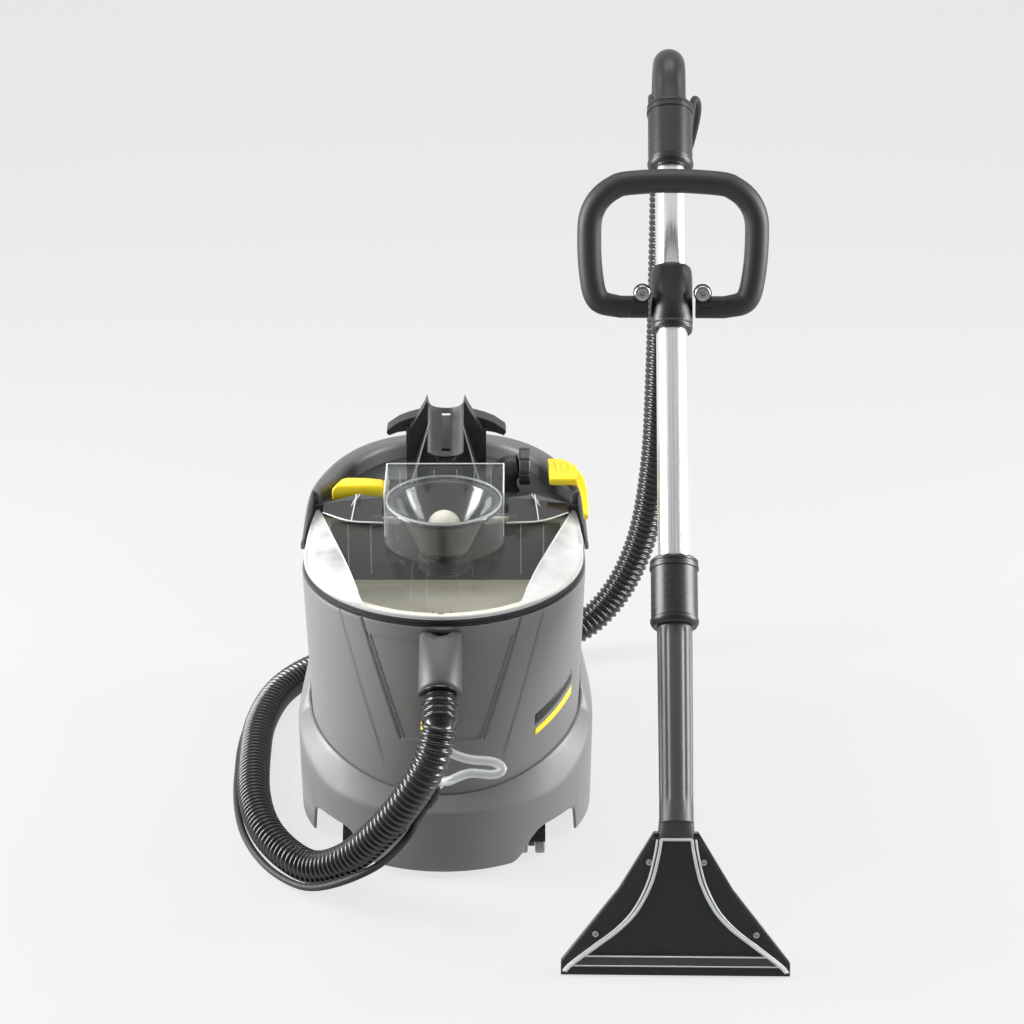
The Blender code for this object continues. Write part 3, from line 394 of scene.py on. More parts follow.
def bright_metal(name, colour=(0.92, 0.92, 0.93), roughness=0.22, stretch=(900.0, 900.0, 14.0)):
    """Drawn tube: fine lines along its length in the tube's own directions."""
    material, tree, shader = new_material(name)
    place = node(tree, "ShaderNodeTexCoord", out="Object")
    turned = node(tree, "ShaderNodeMapping", place, Rotation=TUBE.to_3x3().inverted().to_euler())
    lines = node(tree, "ShaderNodeMapping", turned, Scale=stretch)
    noise = node(tree, "ShaderNodeTexNoise", lines, Scale=1.0, Detail=3.0)
    tint = blend_colours(tree, noise, (*[c * 0.88 for c in colour], 1),
                         (*[min(1, c * 1.06) for c in colour], 1))
    feed(tree, shader.inputs["Base Color"], tint)
    feed(tree, shader.inputs["Roughness"], scale_range(tree, noise, roughness - 0.05, roughness + 0.10))
    feed(tree, shader.inputs["Normal"], node(tree, "ShaderNodeBump", Strength=0.05, Distance=0.0002,
                                             Height=noise))
    shader.inputs["Metallic"].default_value = 1.0
    return material


GREY = moulded("grey moulding", (0.150, 0.150, 0.152), 0.42, grain=1100.0, bump=0.10, vary=0.05, wear=0.25)
RIM_GREY = moulded("rim moulding", (0.115, 0.115, 0.118), 0.45, grain=1100.0, bump=0.10, vary=0.06,
                   wear=0.35)
WHEEL_GREY = moulded("wheel moulding", (0.24, 0.24, 0.24), 0.5, grain=900.0, bump=0.1, vary=0.1, wear=0.2)
DARK = moulded("dark grey moulding", (0.052, 0.053, 0.056), 0.45, bump=0.10, vary=0.08, wear=0.35)
BLACK = moulded("black moulding", (0.0115, 0.0115, 0.012), 0.36, grain=1300.0, bump=0.08, vary=0.10,
                wear=0.30)
NECK = moulded("neck moulding", (0.046, 0.046, 0.047), 0.42, grain=1200.0, bump=0.10, vary=0.08, wear=0.30)
GRIP = moulded("grip moulding", (0.014, 0.014, 0.0145), 0.50, grain=1700.0, bump=0.30, vary=0.10, wear=0.20)
RUBBER = moulded("black rubber", (0.010, 0.010, 0.010), 0.60, grain=700.0, bump=0.15, vary=0.15, wear=0.10)
RIBBED = moulded("ribbed hose", (0.0095, 0.0095, 0.010), 0.24, grain=500.0, bump=0.05, vary=0.10,
                 wear=0.30, coat=0.25)
YELLOW = moulded("yellow moulding", (0.86, 0.66, 0.008), 0.36, grain=1200.0, bump=0.06, vary=0.05,
                 wear=0.15,
                 worn=(0.9, 0.8, 0.3))
CREAM = moulded("natural moulding", (0.74, 0.70, 0.58), 0.46, grain=900.0, bump=0.08, vary=0.07, wear=0.10)
CLEAR = clear_plastic("clear moulding", haze=0.012, shine=0.5)
# sides=0.68 paints a white highlight on the left and right facets of the cover.
COVER_CLEAR = clear_plastic("clear cover moulding", haze=0.012, rim=0.50, shine=0.35, sides=0.68)
CLEAR_THICK = clear_plastic("clear edge", haze=0.28, rim=0.75)
# Painted highlight: a strongly milky white material for the strips along the cover's creases and the nozzle
# window's ridges, standing in for their bright edges.
RIDGE_HIGHLIGHT = clear_plastic("clear ridge highlight", haze=0.60, rim=0.95, shine=2.0)
CLEAR_TUBE = clear_plastic("clear tube", haze=0.30, rim=0.85, roughness=0.10, shine=1.4)
CUP = moulded("glossy cup", (0.016, 0.016, 0.017), 0.16, grain=700.0, bump=0.03, vary=0.1, wear=0.2,
              coat=0.6)
STEEL = bright_metal("bright tube")
SCREW = bright_metal("screw steel", (0.55, 0.55, 0.56), 0.30, (300.0, 300.0, 300.0))
CARRIED = {"grey_plastic": GREY, "dark_grey_plastic": DARK, "black_plastic": BLACK, "hose_plastic": RIBBED,
           "black_rubber": RUBBER, "yellow_plastic": YELLOW, "cream_plastic": CREAM, "clear_plastic": CLEAR,
           "bright_tube": STEEL, "motor_steel": SCREW}
for part in frame["record"]["subparts"]:
    carried = frame["nodes"][part["node"]]
    carried.data.materials.clear()
    carried.data.materials.append(CARRIED[part["material_slot"]])


# ---- camera, floor and light -------------------------------------------------------------
SENSOR = 36.0
LENS = SENSOR * 2800.0 / 1024.0
camera_data = bpy.data.cameras.new("camera")
camera_data.sensor_width = SENSOR
camera_data.lens = LENS
camera_data.clip_start = 0.05
camera_data.clip_end = 60.0
camera = bpy.data.objects.new("camera", camera_data)
bpy.context.collection.objects.link(camera)
camera.location = MACHINE + Vector((0.0759, -2.8078, 1.6802))
camera.rotation_euler = (math.radians(65.0), 0.0, 0.0)
bpy.context.scene.camera = camera
bpy.context.scene.view_settings.view_transform = "Standard"


def area_light(name, at, toward, size, power, colour=(1, 1, 1)):
    data = bpy.data.lights.new(name, "AREA")
    data.shape = "RECTANGLE"
    data.size, data.size_y = size
    data.energy = power
    data.color = colour
    lamp = bpy.data.objects.new(name, data)
    bpy.context.collection.objects.link(lamp)
    lamp.location = at
    lamp.rotation_euler = (Vector(toward) - Vector(at)).to_track_quat("-Z", "Y").to_euler()
    return lamp


def make_stage():
    floor = bmesh.new()
    bmesh.ops.create_grid(floor, x_segments=1, y_segments=1, size=14.0)
    floor_material, tree, shader = new_material("pale floor")
    shader.inputs["Base Color"].default_value = (0.08, 0.08, 0.08, 1)
    shader.inputs["Roughness"].default_value = 0.9
    shader.inputs["Specular IOR Level"].default_value = 0.0
    shader.inputs["Emission Color"].default_value = (1.0, 1.0, 1.0, 1)
    shader.inputs["Emission Strength"].default_value = 0.74
    obj = finish_mesh("floor", floor, floor_material, body=None)
    obj.location.z = -0.0002
    world = bpy.data.worlds.new("studio")
    world.use_nodes = True
    tree = world.node_tree
    direction = node(tree, "ShaderNodeTexCoord", out="Generated")
    front = scale_range(tree, node(tree, "ShaderNodeSeparateXYZ", direction, out="Y"), 0.10, 0.84, -0.85,
                        0.15)
    feed(tree, tree.nodes["Background"].inputs["Strength"], front)
    tree.nodes["Background"].inputs["Color"].default_value = (1.0, 1.0, 1.0, 1)
    bpy.context.scene.world = world
    middle = (0.0, 0.0, 0.35)
    area_light("left softbox", (-1.9, 0.05, 0.90), middle, (0.8, 1.6), 84.0)
    area_light("right softbox", (2.0, 0.05, 0.90), middle, (0.8, 1.6), 78.0)
    area_light("top softbox", (0.0, 0.5, 2.6), middle, (1.8, 1.0), 20.0)


make_stage()


# ---- free hoses --------------------------------------------------------------------------
HOSE_RADIUS = 0.019
RIB_PITCH = 0.0074
CUFF_LENGTH = 0.016
CUFF_WAND = 0.034
LINE_RADIUS = 0.004
CLEAR_RADIUS = 0.005
HOSE_FLOOR = 0.0196
HOSE_ROUTE = [
    (-0.0080, -0.2560, 0.2050), (-0.0270, -0.2550, 0.1660), (-0.0580, -0.2430, 0.1150),
    (-0.0980, -0.2200, 0.0620), (-0.1380, -0.1880, 0.0280),
    (-0.1720, -0.1490, HOSE_FLOOR), (-0.2030, -0.0930, HOSE_FLOOR), (-0.2210, -0.0200, HOSE_FLOOR),
    (-0.2280, 0.0700, HOSE_FLOOR), (-0.2270, 0.1550, HOSE_FLOOR), (-0.2080, 0.2350, HOSE_FLOOR),
    (-0.1640, 0.2950, HOSE_FLOOR), (-0.0950, 0.3290, HOSE_FLOOR), (0.0000, 0.3420, HOSE_FLOOR),
    (0.0900, 0.3480, 0.0230), (0.1600, 0.3560, 0.0420), (0.2080, 0.3720, 0.0850),
    (0.2400, 0.3870, 0.1550), (0.2550, 0.3960, 0.2500), (0.2590, 0.4000, 0.3600),
    (0.2600, 0.4000, 0.4900), (0.2597, 0.3995, 0.6100)]
COUPLING_END = Vector((-0.0045, -0.1849, 0.1980))
CLEAR_ROUTE = [
    (-0.0045, -0.1910, 0.1980), (-0.0020, -0.1990, 0.1930), (0.0080, -0.2050, 0.1840),
    (0.0300, -0.2090, 0.1770),
    (0.0560, -0.2110, 0.1750), (0.0660, -0.2160, 0.1690), (0.0560, -0.2190, 0.1640),
    (0.0300, -0.2200, 0.1660), (0.0080, -0.2190, 0.1560)]
JOINER_AT = Vector((-0.0050, -0.2170, 0.1450))
LINE_AWAY = 0.0250
LINE_LEAN = math.radians(54)
LINE_END = [
    (0.2640, 0.4440, 0.5200), (0.2780, 0.4420, 0.6000), (0.2930, 0.4250, 0.6700),
    (0.2960, 0.3930, 0.7150), (0.2880, 0.3600, 0.7330)]


def beside(points):
    """A line that follows the hose on its outer side, low enough to lie on the same floor."""
    side = Vector((0, -1, 0))
    found = []
    for k in range(1, len(points) - 1):
        run = (points[k + 1] - points[k - 1]).normalized()
        flat = Vector((0, 0, 1)).cross(run)
        if flat.length > 0.35:
            side = flat
        side = (side - run * side.dot(run)).normalized()
        lean = LINE_LEAN * (1 - ease(0.035, 0.100, points[k].z) * (points[k].y < 0))
        away = side * math.sin(lean) - run.cross(side) * math.cos(lean)
        found.append(points[k] + away * LINE_AWAY)
    return found


def rib_radius(distance):
    """Outer radius of the corrugated hose: round-topped ribs with narrow valleys."""
    wave = math.cos(2 * math.pi * distance / RIB_PITCH)
    return HOSE_RADIUS - 0.0030 * (0.5 - 0.5 * wave) ** 1.6


def placed(points):
    return [Vector(p) + MACHINE for p in points]


def make_cords():
    cuff = joint("cuff_swivel_wand")
    cuff_end = Vector(cuff["pos_m"]) + Vector(cuff["axis"]) * (CUFF_WAND + 3 * GAP) - MACHINE
    start = PORT_MOUTH - MACHINE + PORT_AXIS * (CUFF_LENGTH + 3 * GAP)
    route = [start + PORT_AXIS * 0.018] + [Vector(p) for p in HOSE_ROUTE]
    route.append(cuff_end - Vector((0, 0, 0.030)))
    step = RIB_PITCH / 8
    middle = smooth_curve(route, 0.003)
    path = placed([start] + middle + [cuff_end])
    count = round(path_length(path) / step)
    fine = resample(path, count)
    hose = finish_mesh("ribbed_suction_hose", sweep(fine, rib_radius, 28), RIBBED, "root",
                       ("suction_hose",), sharp=80)

    follow = beside(smooth_curve(route, 0.023))
    first = next(k for k, p in enumerate(follow) if p.x < -0.036)
    last = next(k for k, p in enumerate(follow) if p.x > 0.2 and p.z > 0.43)
    axis = (follow[first] - JOINER_AT).normalized()
    clear = [Vector(p) for p in CLEAR_ROUTE] + [JOINER_AT - axis * 0.010]
    path = placed([COUPLING_END] + smooth_curve(clear, 0.004) + [JOINER_AT])
    bm = sweep(resample(path, 90), lambda run: CLEAR_RADIUS, 24)
    tube = finish_mesh("clear_hose", bm, CLEAR_TUBE, "root", ("clear_spray_tube",),
                       sharp=80)
    sleeve = [(0.0042, -0.003), (0.0054, -0.003), (0.0062, 0.0), (0.0062, 0.006), (0.0070, 0.0065),
              (0.0070, 0.0145), (0.0062, 0.015), (0.0062, 0.021), (0.0050, 0.0222), (0.0042, 0.0222)]
    joiner = finish_mesh("joiner", lathe(sleeve, 32, closed=True), BLACK, "root",
                         ("line_joiner",), matrix=along(JOINER_AT + MACHINE + axis * GAP, axis))

    valve_low, valve_high = corners("valve_body")
    middle = 0.5 * (valve_low + valve_high)
    port = middle + WAND_X * (0.0090 + 3 * GAP) - MACHINE
    out = JOINER_AT + axis * (0.022 + 2 * GAP)
    line = [out + axis * 0.012] + follow[first:last:2] + [Vector(p) for p in LINE_END]
    line.append(port + Vector((0.012, 0, 0)))
    path = placed([out] + smooth_curve(line, 0.006) + [port])
    bm = sweep(resample(path, 700), lambda run: LINE_RADIUS, 16)
    tube = finish_mesh("spray_hose", bm, RUBBER, "root", ("spray_line",), sharp=80)


def resample(points, count):
    run = [0.0]
    for p, q in zip(points, points[1:]):
        run.append(run[-1] + (q - p).length)
    even = []
    k = 0
    for step in range(count + 1):
        want = run[-1] * step / count
        while k < len(run) - 2 and run[k + 1] < want:
            k += 1
        even.append(points[k].lerp(points[k + 1], (want - run[k]) / (run[k + 1] - run[k])))
    return even


make_cords()


# ---- housing -----------------------------------------------------------------------------
ARCH = ((27.5, 0.008), (29.5, 0.0105), (32.0, 0.0165), (34.0, 0.0245), (36.0, 0.0320),
        (39.5, 0.0400), (43.0, 0.0430), (50.0, 0.0435), (57.0, 0.0430), (61.0, 0.0400),
        (62.6, 0.0330), (63.6, 0.008))


def from_front(angle):
    return abs((math.degrees(angle) + 180) % 360 - 180)


def belt_low(angle):
    return 0.083 + 0.039 * ease(45, 92, from_front(angle))


def belt_high(angle):
    turn = from_front(angle)
    return 0.098 + 0.035 * ease(0, 88, turn) + 0.042 * ease(84, 97, turn)


def skirt_edge(angle):
    turn = from_front(angle)
    turn = min(turn, 180 - turn)
    if not ARCH[0][0] < turn < ARCH[-1][0]:
        return FLOOR_GAP
    for (a, low), (b, high) in zip(ARCH, ARCH[1:]):
        if turn <= b:
            return low + (high - low) * (turn - a) / (b - a)
    return FLOOR_GAP


def even_angles(step):
    count = round(360 / step)
    return [2 * math.pi * k / count - math.pi for k in range(count)]


def ring_at(angles, half, height):
    return [(*outline_at(a, half(a)), height(a)) for a in angles]


def skirt_half(angle, share):
    """Outer size of the skirt from its lower edge, share 0, up to the belt, share 1."""
    return SKIRT_LOW + (SKIRT_WIDE - SKIRT_LOW) * share ** 0.8


def make_skirt():
    angles = even_angles(0.75)

    def up(share, inset=0.0, lift=0.0):
        return ring_at(angles, lambda a: skirt_half(a, share) - inset,
                       lambda a: skirt_edge(a) + (belt_low(a) - skirt_edge(a)) * share + lift)

    def slope(share, inset=0.0):
        return ring_at(angles,
                       lambda a: SKIRT_WIDE + (tank_half(belt_high(a)) + WALL - SKIRT_WIDE) * share - inset,
                       lambda a: belt_low(a) + (belt_high(a) - belt_low(a)) * share)

    rings = [up(0, 0.0022), up(0, 0.0006, 0.0003), up(0, 0, 0.0012)]
    rings += [up(s) for s in (0.1, 0.25, 0.45, 0.65, 0.82, 0.93)]
    rings += [up(1.0, 0.0001, -0.0016), slope(0.04, 0.0002), slope(0.12), slope(0.35), slope(0.6),
              slope(0.85),
              slope(0.97, 0.0002), slope(1.0, 0.0010), slope(1.0, 0.0024)]
    rings.append(ring_at(angles, lambda a: SKIRT_WIDE - WALL, lambda a: belt_low(a) - 0.002))
    rings.append(ring_at(angles, lambda a: SKIRT_LOW - WALL, lambda a: skirt_edge(a) + 0.0003))
    finish_mesh("housing_skirt", loft(rings, closed=True), GREY, "root", ("base_skirt",),
                M, sharp=40)


PANEL_TOP = (33.0, 0.307)
PANEL_LOW = (17.4, 0.167)
FACET_TOP = (43.0, 0.295)
FACET_LOW = (27.0, 0.150)


def line_at(z, top, low):
    """Half-angle, in degrees, of a slanted line on the front at a height."""
    return low[0] + (top[0] - low[0]) * (z - low[1]) / (top[1] - low[1])


def front_relief(angle, z):
    """How far the front of the tank stands in from the plain cone."""
    turn = from_front(angle)
    edge = line_at(z, PANEL_TOP, PANEL_LOW)
    inside = 1 - ease(edge - 0.35, edge + 0.35, turn)
    inside *= ease(PANEL_LOW[1] - 0.0015, PANEL_LOW[1] + 0.0015, z)
    depth = 0.0019 * inside
    groove = math.exp(-((turn - edge) / 0.42) ** 2) * (z > PANEL_LOW[1] - 0.002)
    depth += 0.0011 * groove
    step = 0.0010 * inside * ease(0.2905, 0.2880, z) if turn < edge - 1.2 else 0.0
    facet = line_at(z, FACET_TOP, FACET_LOW)
    fall = ease(FACET_LOW[1] - 0.035, FACET_LOW[1] + 0.01, z)
    depth += 0.0008 * fall * (1 - ease(facet - 0.4, facet + 0.4, turn)) * (1 - inside)
    return depth + step


def make_tank():
    fine = [math.radians(a * 0.3) for a in range(-163, 164)]
    rest = [math.radians(a) for a in range(52, 309, 3)]
    angles = fine + rest
    low = TANK_FLOOR_Z
    heights = [low, low + 0.02, 0.095, 0.110, 0.120, 0.130, 0.138, 0.144, 0.150, 0.155, 0.159, 0.162,
               0.1645,
               0.166, 0.1675, 0.169, 0.172, 0.176]
    heights += [0.176 + 0.0045 * k for k in range(1, 25)]
    heights += [0.2865, 0.288, 0.2895, 0.291, 0.294, 0.2985, 0.3025, RIM_Z - 0.0012]
    rings = [ring_at(angles, lambda a, z=z: tank_half(z) - front_relief(a, z), lambda a, z=z: z)
             for z in heights]
    rings.append(ring_at(angles, lambda a: TANK_RIM - 0.0004 - front_relief(a, RIM_Z),
                         lambda a: RIM_Z - 0.0003))
    rings.append(ring_at(angles, lambda a: TANK_RIM - 0.0009 - front_relief(a, RIM_Z), lambda a: RIM_Z))
    rings.append(ring_at(angles, lambda a: TANK_RIM - WALL - 0.0008, lambda a: RIM_Z))
    rings.append(ring_at(angles, lambda a: TANK_LOW - WALL - 0.0008, lambda a: low + WALL))
    tank = finish_mesh("water_tank", loft(rings), GREY, "root", ("fresh_water_tank",), M,
                       sharp=28)
    bore = tool(lathe([(0.0168, -0.03), (0.0168, 0.03)]), along(PORT_MOUTH - PORT_AXIS * 0.062, PORT_AXIS))
    small = tool(lathe([(0.0075, -0.02), (0.0075, 0.02)]), along(MACHINE + COUPLING_AT, (0, -1, 0)))
    apply_booleans(tank, [("DIFFERENCE", bore), ("DIFFERENCE", small)])

    stripe = []
    sticker = []
    for row in range(5):
        share = row / 4
        stripe_row = []
        sticker_row = []
        for k in range(31):
            along_it = k / 30
            angle = math.radians(41.5 + 26.0 * along_it)
            base = 0.1525 + 0.0045 * along_it
            z = base + 0.0100 * share * (0.80 + 0.20 * along_it) + 0.018 * along_it
            stripe_row.append((*outline_at(angle, tank_half(z) + 0.00025), z))
            z = base + 0.0135 + 0.013 * share + 0.022 * along_it
            sticker_row.append((*outline_at(angle, tank_half(z) + 0.00025), z))
        stripe.append(stripe_row)
        sticker.append(sticker_row)
    for name, rows, paint in (("yellow_stripe", stripe, YELLOW), ("dark_label", sticker, BLACK)):
        bm = bmesh.new()
        grid = [[bm.verts.new(p) for p in row] for row in rows]
        for low_row, high_row in zip(grid, grid[1:]):
            for i in range(len(low_row) - 1):
                bm.faces.new((low_row[i], low_row[i + 1], high_row[i + 1], high_row[i]))
        made = finish_mesh(name, bm, paint,
                           "root",
                           matrix=M)
        thick = made.modifiers.new("thick", "SOLIDIFY")
        thick.thickness = 0.0003


COUPLING_AT = Vector((-0.0045, -0.1540, 0.198))
make_skirt()
make_tank()


# ---- dirty-water unit --------------------------------------------------------------------
def make_unit():
    inner, back = COVER_HALF - 0.0093, COVER_BACK - 0.008
    low = RIM_Z + GAP
    rows = [(0.0009, low), (0.0001, low + 0.0010), (0.0, low + 0.0024), (0.0012, low + 0.0032),
            (0.0013, low + 0.0040), (0.0001, low + 0.0048), (0.0, SEAL_TOP_Z - 0.0010),
            (0.0009, SEAL_TOP_Z)]
    rings = [front_ring(COVER_HALF - inset, COVER_BACK - inset, z) for inset, z in rows]
    rings += [front_ring(inner, back, SEAL_TOP_Z), front_ring(inner, back, low)]
    finish_mesh("lip_seal", loft(rings, closed=True), RUBBER, "dirty_tank", ("tank_seal",),
                M,
                sharp=40)

    top = SEAL_TOP_Z + GAP + 0.002
    flange = COVER_HALF - 0.0045
    outside = [front_ring(inner - 0.0075, back - 0.0055, 0.229),
               front_ring(inner - 0.0045, back - 0.0035, 0.2305),
               front_ring(inner - 0.0034, back - 0.003, 0.2340),
               front_ring(inner - 0.0006, back - 0.0006, SEAL_TOP_Z + GAP),
               front_ring(flange, COVER_BACK - 0.0045, SEAL_TOP_Z + GAP),
               front_ring(flange, COVER_BACK - 0.0045, top)]
    inside = [front_ring(inner - 0.003, back - 0.003, top),
              front_ring(inner - 0.0038, back - 0.0036, 0.300),
              front_ring(inner - 0.0056, back - 0.0052, 0.2440),
              front_ring(inner - 0.0068, back - 0.0062, 0.2365),
              front_ring(inner - 0.0100, back - 0.0085, 0.2330),
              front_ring(inner - 0.0150, back - 0.0120, 0.2321),
              front_ring(inner - 0.0600, back - 0.0600, 0.2330)]
    tub = finish_mesh("dirty_tub", loft(outside + inside), CREAM, "dirty_tank",
                      ("dirty_water_tub",), M, sharp=45)
    bore = tool(lathe([(0.0165, -0.03), (0.0165, 0.03)]), along(PORT_MOUTH - PORT_AXIS * 0.074, PORT_AXIS))
    apply_booleans(tub, [("DIFFERENCE", bore)])
    liner = finish_mesh("rear_liner", block((0.262, 0.0012, 0.072), (0, 0.0915, 0.2780)), BLACK,
                        "dirty_tank", (), M)
    add_bevel(liner, 0.0004, 1)
    bars = [(block((0.0014, 0.0024, 0.062), (x, 0.0895, 0.2820)), Matrix.Identity(4))
            for x in (-0.112, -0.086, 0.086, 0.112)]
    finish_mesh("liner_ribs", join_shapes(*bars), CLEAR_THICK, "dirty_tank", (), M)
    hood = finish_mesh("deflector_body", block((0.088, 0.040, 0.056), (0, -0.108, 0.2625)), DARK,
                       "dirty_tank", ("inlet_deflector",), M)
    hollow = tool(block((0.082, 0.041, 0.060), (0, -0.1115, 0.2575)))
    steps = [("DIFFERENCE", hollow)]
    for x in (-0.030, -0.010, 0.010, 0.030):
        steps.append(("UNION", tool(block((0.0022, 0.041, 0.0018), (x, -0.108, 0.2910)))))
    add_bevel(apply_booleans(hood, steps), 0.0006)


def make_float():
    here = M @ Matrix.Translation((0, TURRET_Y, 0))
    cup = [(0.0125, 0.3180), (0.0300, 0.3180), (0.0318, 0.3186), (0.0334, 0.3206), (0.0562, 0.3655),
           (0.0585, 0.3668),
           (0.0626, 0.3668), (0.0634, 0.3674), (0.0638, 0.3686), (0.0638, 0.3702), (0.0630, 0.3712),
           (0.0560, 0.3713), (0.0542, 0.3706), (0.0532, 0.3690), (0.0306, 0.3222), (0.0290, 0.3204),
           (0.0125, 0.3200)]
    finish_mesh("float_cup", lathe(cup, 96, closed=True), CUP, "cover", ("float_cage",),
                here)
    sieve = [(0.010, 0.2920), (0.0288, 0.2920), (0.0300, 0.2930)]
    for k in range(6):
        z = 0.2950 + 0.0036 * k
        sieve += [(0.0300, z), (0.0290, z + 0.0006), (0.0290, z + 0.0020), (0.0300, z + 0.0026)]
    sieve += [(0.0300, 0.3175), (0.0275, 0.3175), (0.0275, 0.2945), (0.010, 0.2945)]
    finish_mesh("sieve", lathe(sieve, 64, closed=True), BLACK, "cover", ("lint_filter",),
                here)
    ball = [(0.019 * math.sin(math.pi * k / 28), -0.019 * math.cos(math.pi * k / 28)) for k in range(1, 28)]
    ball = [(r + (0.0003 if abs(z) < 0.0008 else 0), z) for r, z in ball]
    finish_mesh("float_sphere", lathe(ball, 48), CREAM, "float", ("float_ball",),
                M @ Matrix.Translation((0, TURRET_Y, 0.3405)), sharp=80)


def roof_cut(bm, drop):
    """Two top facets and two side facets, as the cover is shaped."""
    ridge = Vector((0, -0.042, 0.329 - drop))
    crease = [Vector((0.0900, -0.107, 0.3250 - drop)), Vector((0.1068, -0.042, 0.3290 - drop)),
              Vector((0.1480, 0.117, 0.3234 - drop))]
    side = Vector((0.1553, 0.0, 0.3215 - drop))
    facets = [(ridge, Vector((0, -0.062, 1.0))), (ridge, Vector((0, 0.035, 1.0)))]
    for low, high in zip(crease, crease[1:]):
        slope = (high - low).cross(side - low)
        slope = slope if slope.z > 0 else -slope
        facets += [(side, slope), (side * Vector((-1, 1, 1)), slope * Vector((-1, 1, 1)))]
    for point, normal in facets:
        geometry = bm.verts[:] + bm.edges[:] + bm.faces[:]
        cut = bmesh.ops.bisect_plane(bm, geom=geometry, dist=0.000001, plane_co=point, plane_no=normal,
                                     clear_outer=True)
        bmesh.ops.holes_fill(bm, edges=[g for g in cut["geom_cut"] if isinstance(g, bmesh.types.BMEdge)])
    return bm


def turret_outline(radius, back, count=72):
    arc = [math.pi + math.pi * k / count for k in range(count + 1)]
    points = [(radius * math.cos(a), TURRET_Y + radius * math.sin(a)) for a in arc]
    return points + [(radius, back), (-radius, back)]


def make_cover():
    lip = SEAL_TOP_Z + GAP
    wall = 0.0022

    cover = finish_mesh("cover_shell", roof_cut(loft([front_ring(COVER_HALF, COVER_BACK,
                                                                 z) for z in (lip, 0.36)]), 0),
                        COVER_CLEAR, "cover", ("clear_cover",), M, sharp=18)
    inner, back = COVER_HALF - wall - 0.0012, COVER_BACK - wall - 0.0012
    hollow = tool(roof_cut(loft([front_ring(inner, back, z) for z in (lip - 0.01, 0.36)]), wall))
    turret = tool(prism(turret_outline(TURRET_RADIUS, COVER_BACK - 0.0001), 0.3205, TURRET_TOP))
    chamber = tool(prism(turret_outline(TURRET_RADIUS - wall, COVER_BACK - wall), 0.31,
                                     TURRET_TOP - wall))
    tools = [("UNION", turret)]
    for side in (-1, 1):
        slope = [(0.083, 0.3195), (0.1005, 0.345), (0.1068, 0.345), (0.1068, 0.3195)]
        rings = [[(side * (low if z < 0.33 else high), y, z) for y, z in slope]
                 for low, high in ((0.060, 0.060), (0.122, 0.098))]
        tools.append(("UNION", tool(loft(rings))))
        rib = block((0.017, 0.100, 0.012), (side * 0.0245, -0.094, 0.3285))
        tools.append(("UNION", tool(rib)))
        tools.append(("UNION", tool(block((0.020, 0.006, 0.010), (side * 0.071, 0.060, 0.3330)))))
    tools += [("DIFFERENCE", hollow), ("DIFFERENCE", chamber)]
    apply_booleans(cover, tools)
    add_bevel(cover, 0.0008, 2, 24)
    rim = [(0.0, lip + 0.0002), (-0.0001, lip + 0.0030), (0.0008, lip + 0.0038), (0.0024, lip + 0.0038),
           (0.0024, lip + 0.0002)]
    rings = [front_ring(COVER_HALF - inset + 0.0004, COVER_BACK - inset, z) for inset, z in rim]
    finish_mesh("cover_rim", loft(rings, closed=True), CLEAR_THICK, "cover", (), M,
                sharp=40)

    lines = []
    for side in (-1, 1):
        for x in (0.033, 0.052, 0.013):
            spot = (side * x, COVER_BACK - 0.004, 0.352)
            lines.append((block((0.0012, 0.0026, 0.046), spot), Matrix.Identity(4)))
    finish_mesh("turret_ribs", join_shapes(*lines), CLEAR_THICK, "cover", (), M)
    ring = [(0.0652, 0.0), (0.0663, 0.0), (0.0663, 0.0022), (0.0652, 0.0022)]
    hoop = lathe(ring, 96, closed=True)
    finish_mesh("chamber_ring", hoop, CLEAR_THICK, "cover", (),
                M @ Matrix.Translation((0, TURRET_Y - 0.0016, 0.3735)) @ Matrix.Diagonal((0.975, 0.975, 1,
                                                                                          1)))
    make_cover_edges()


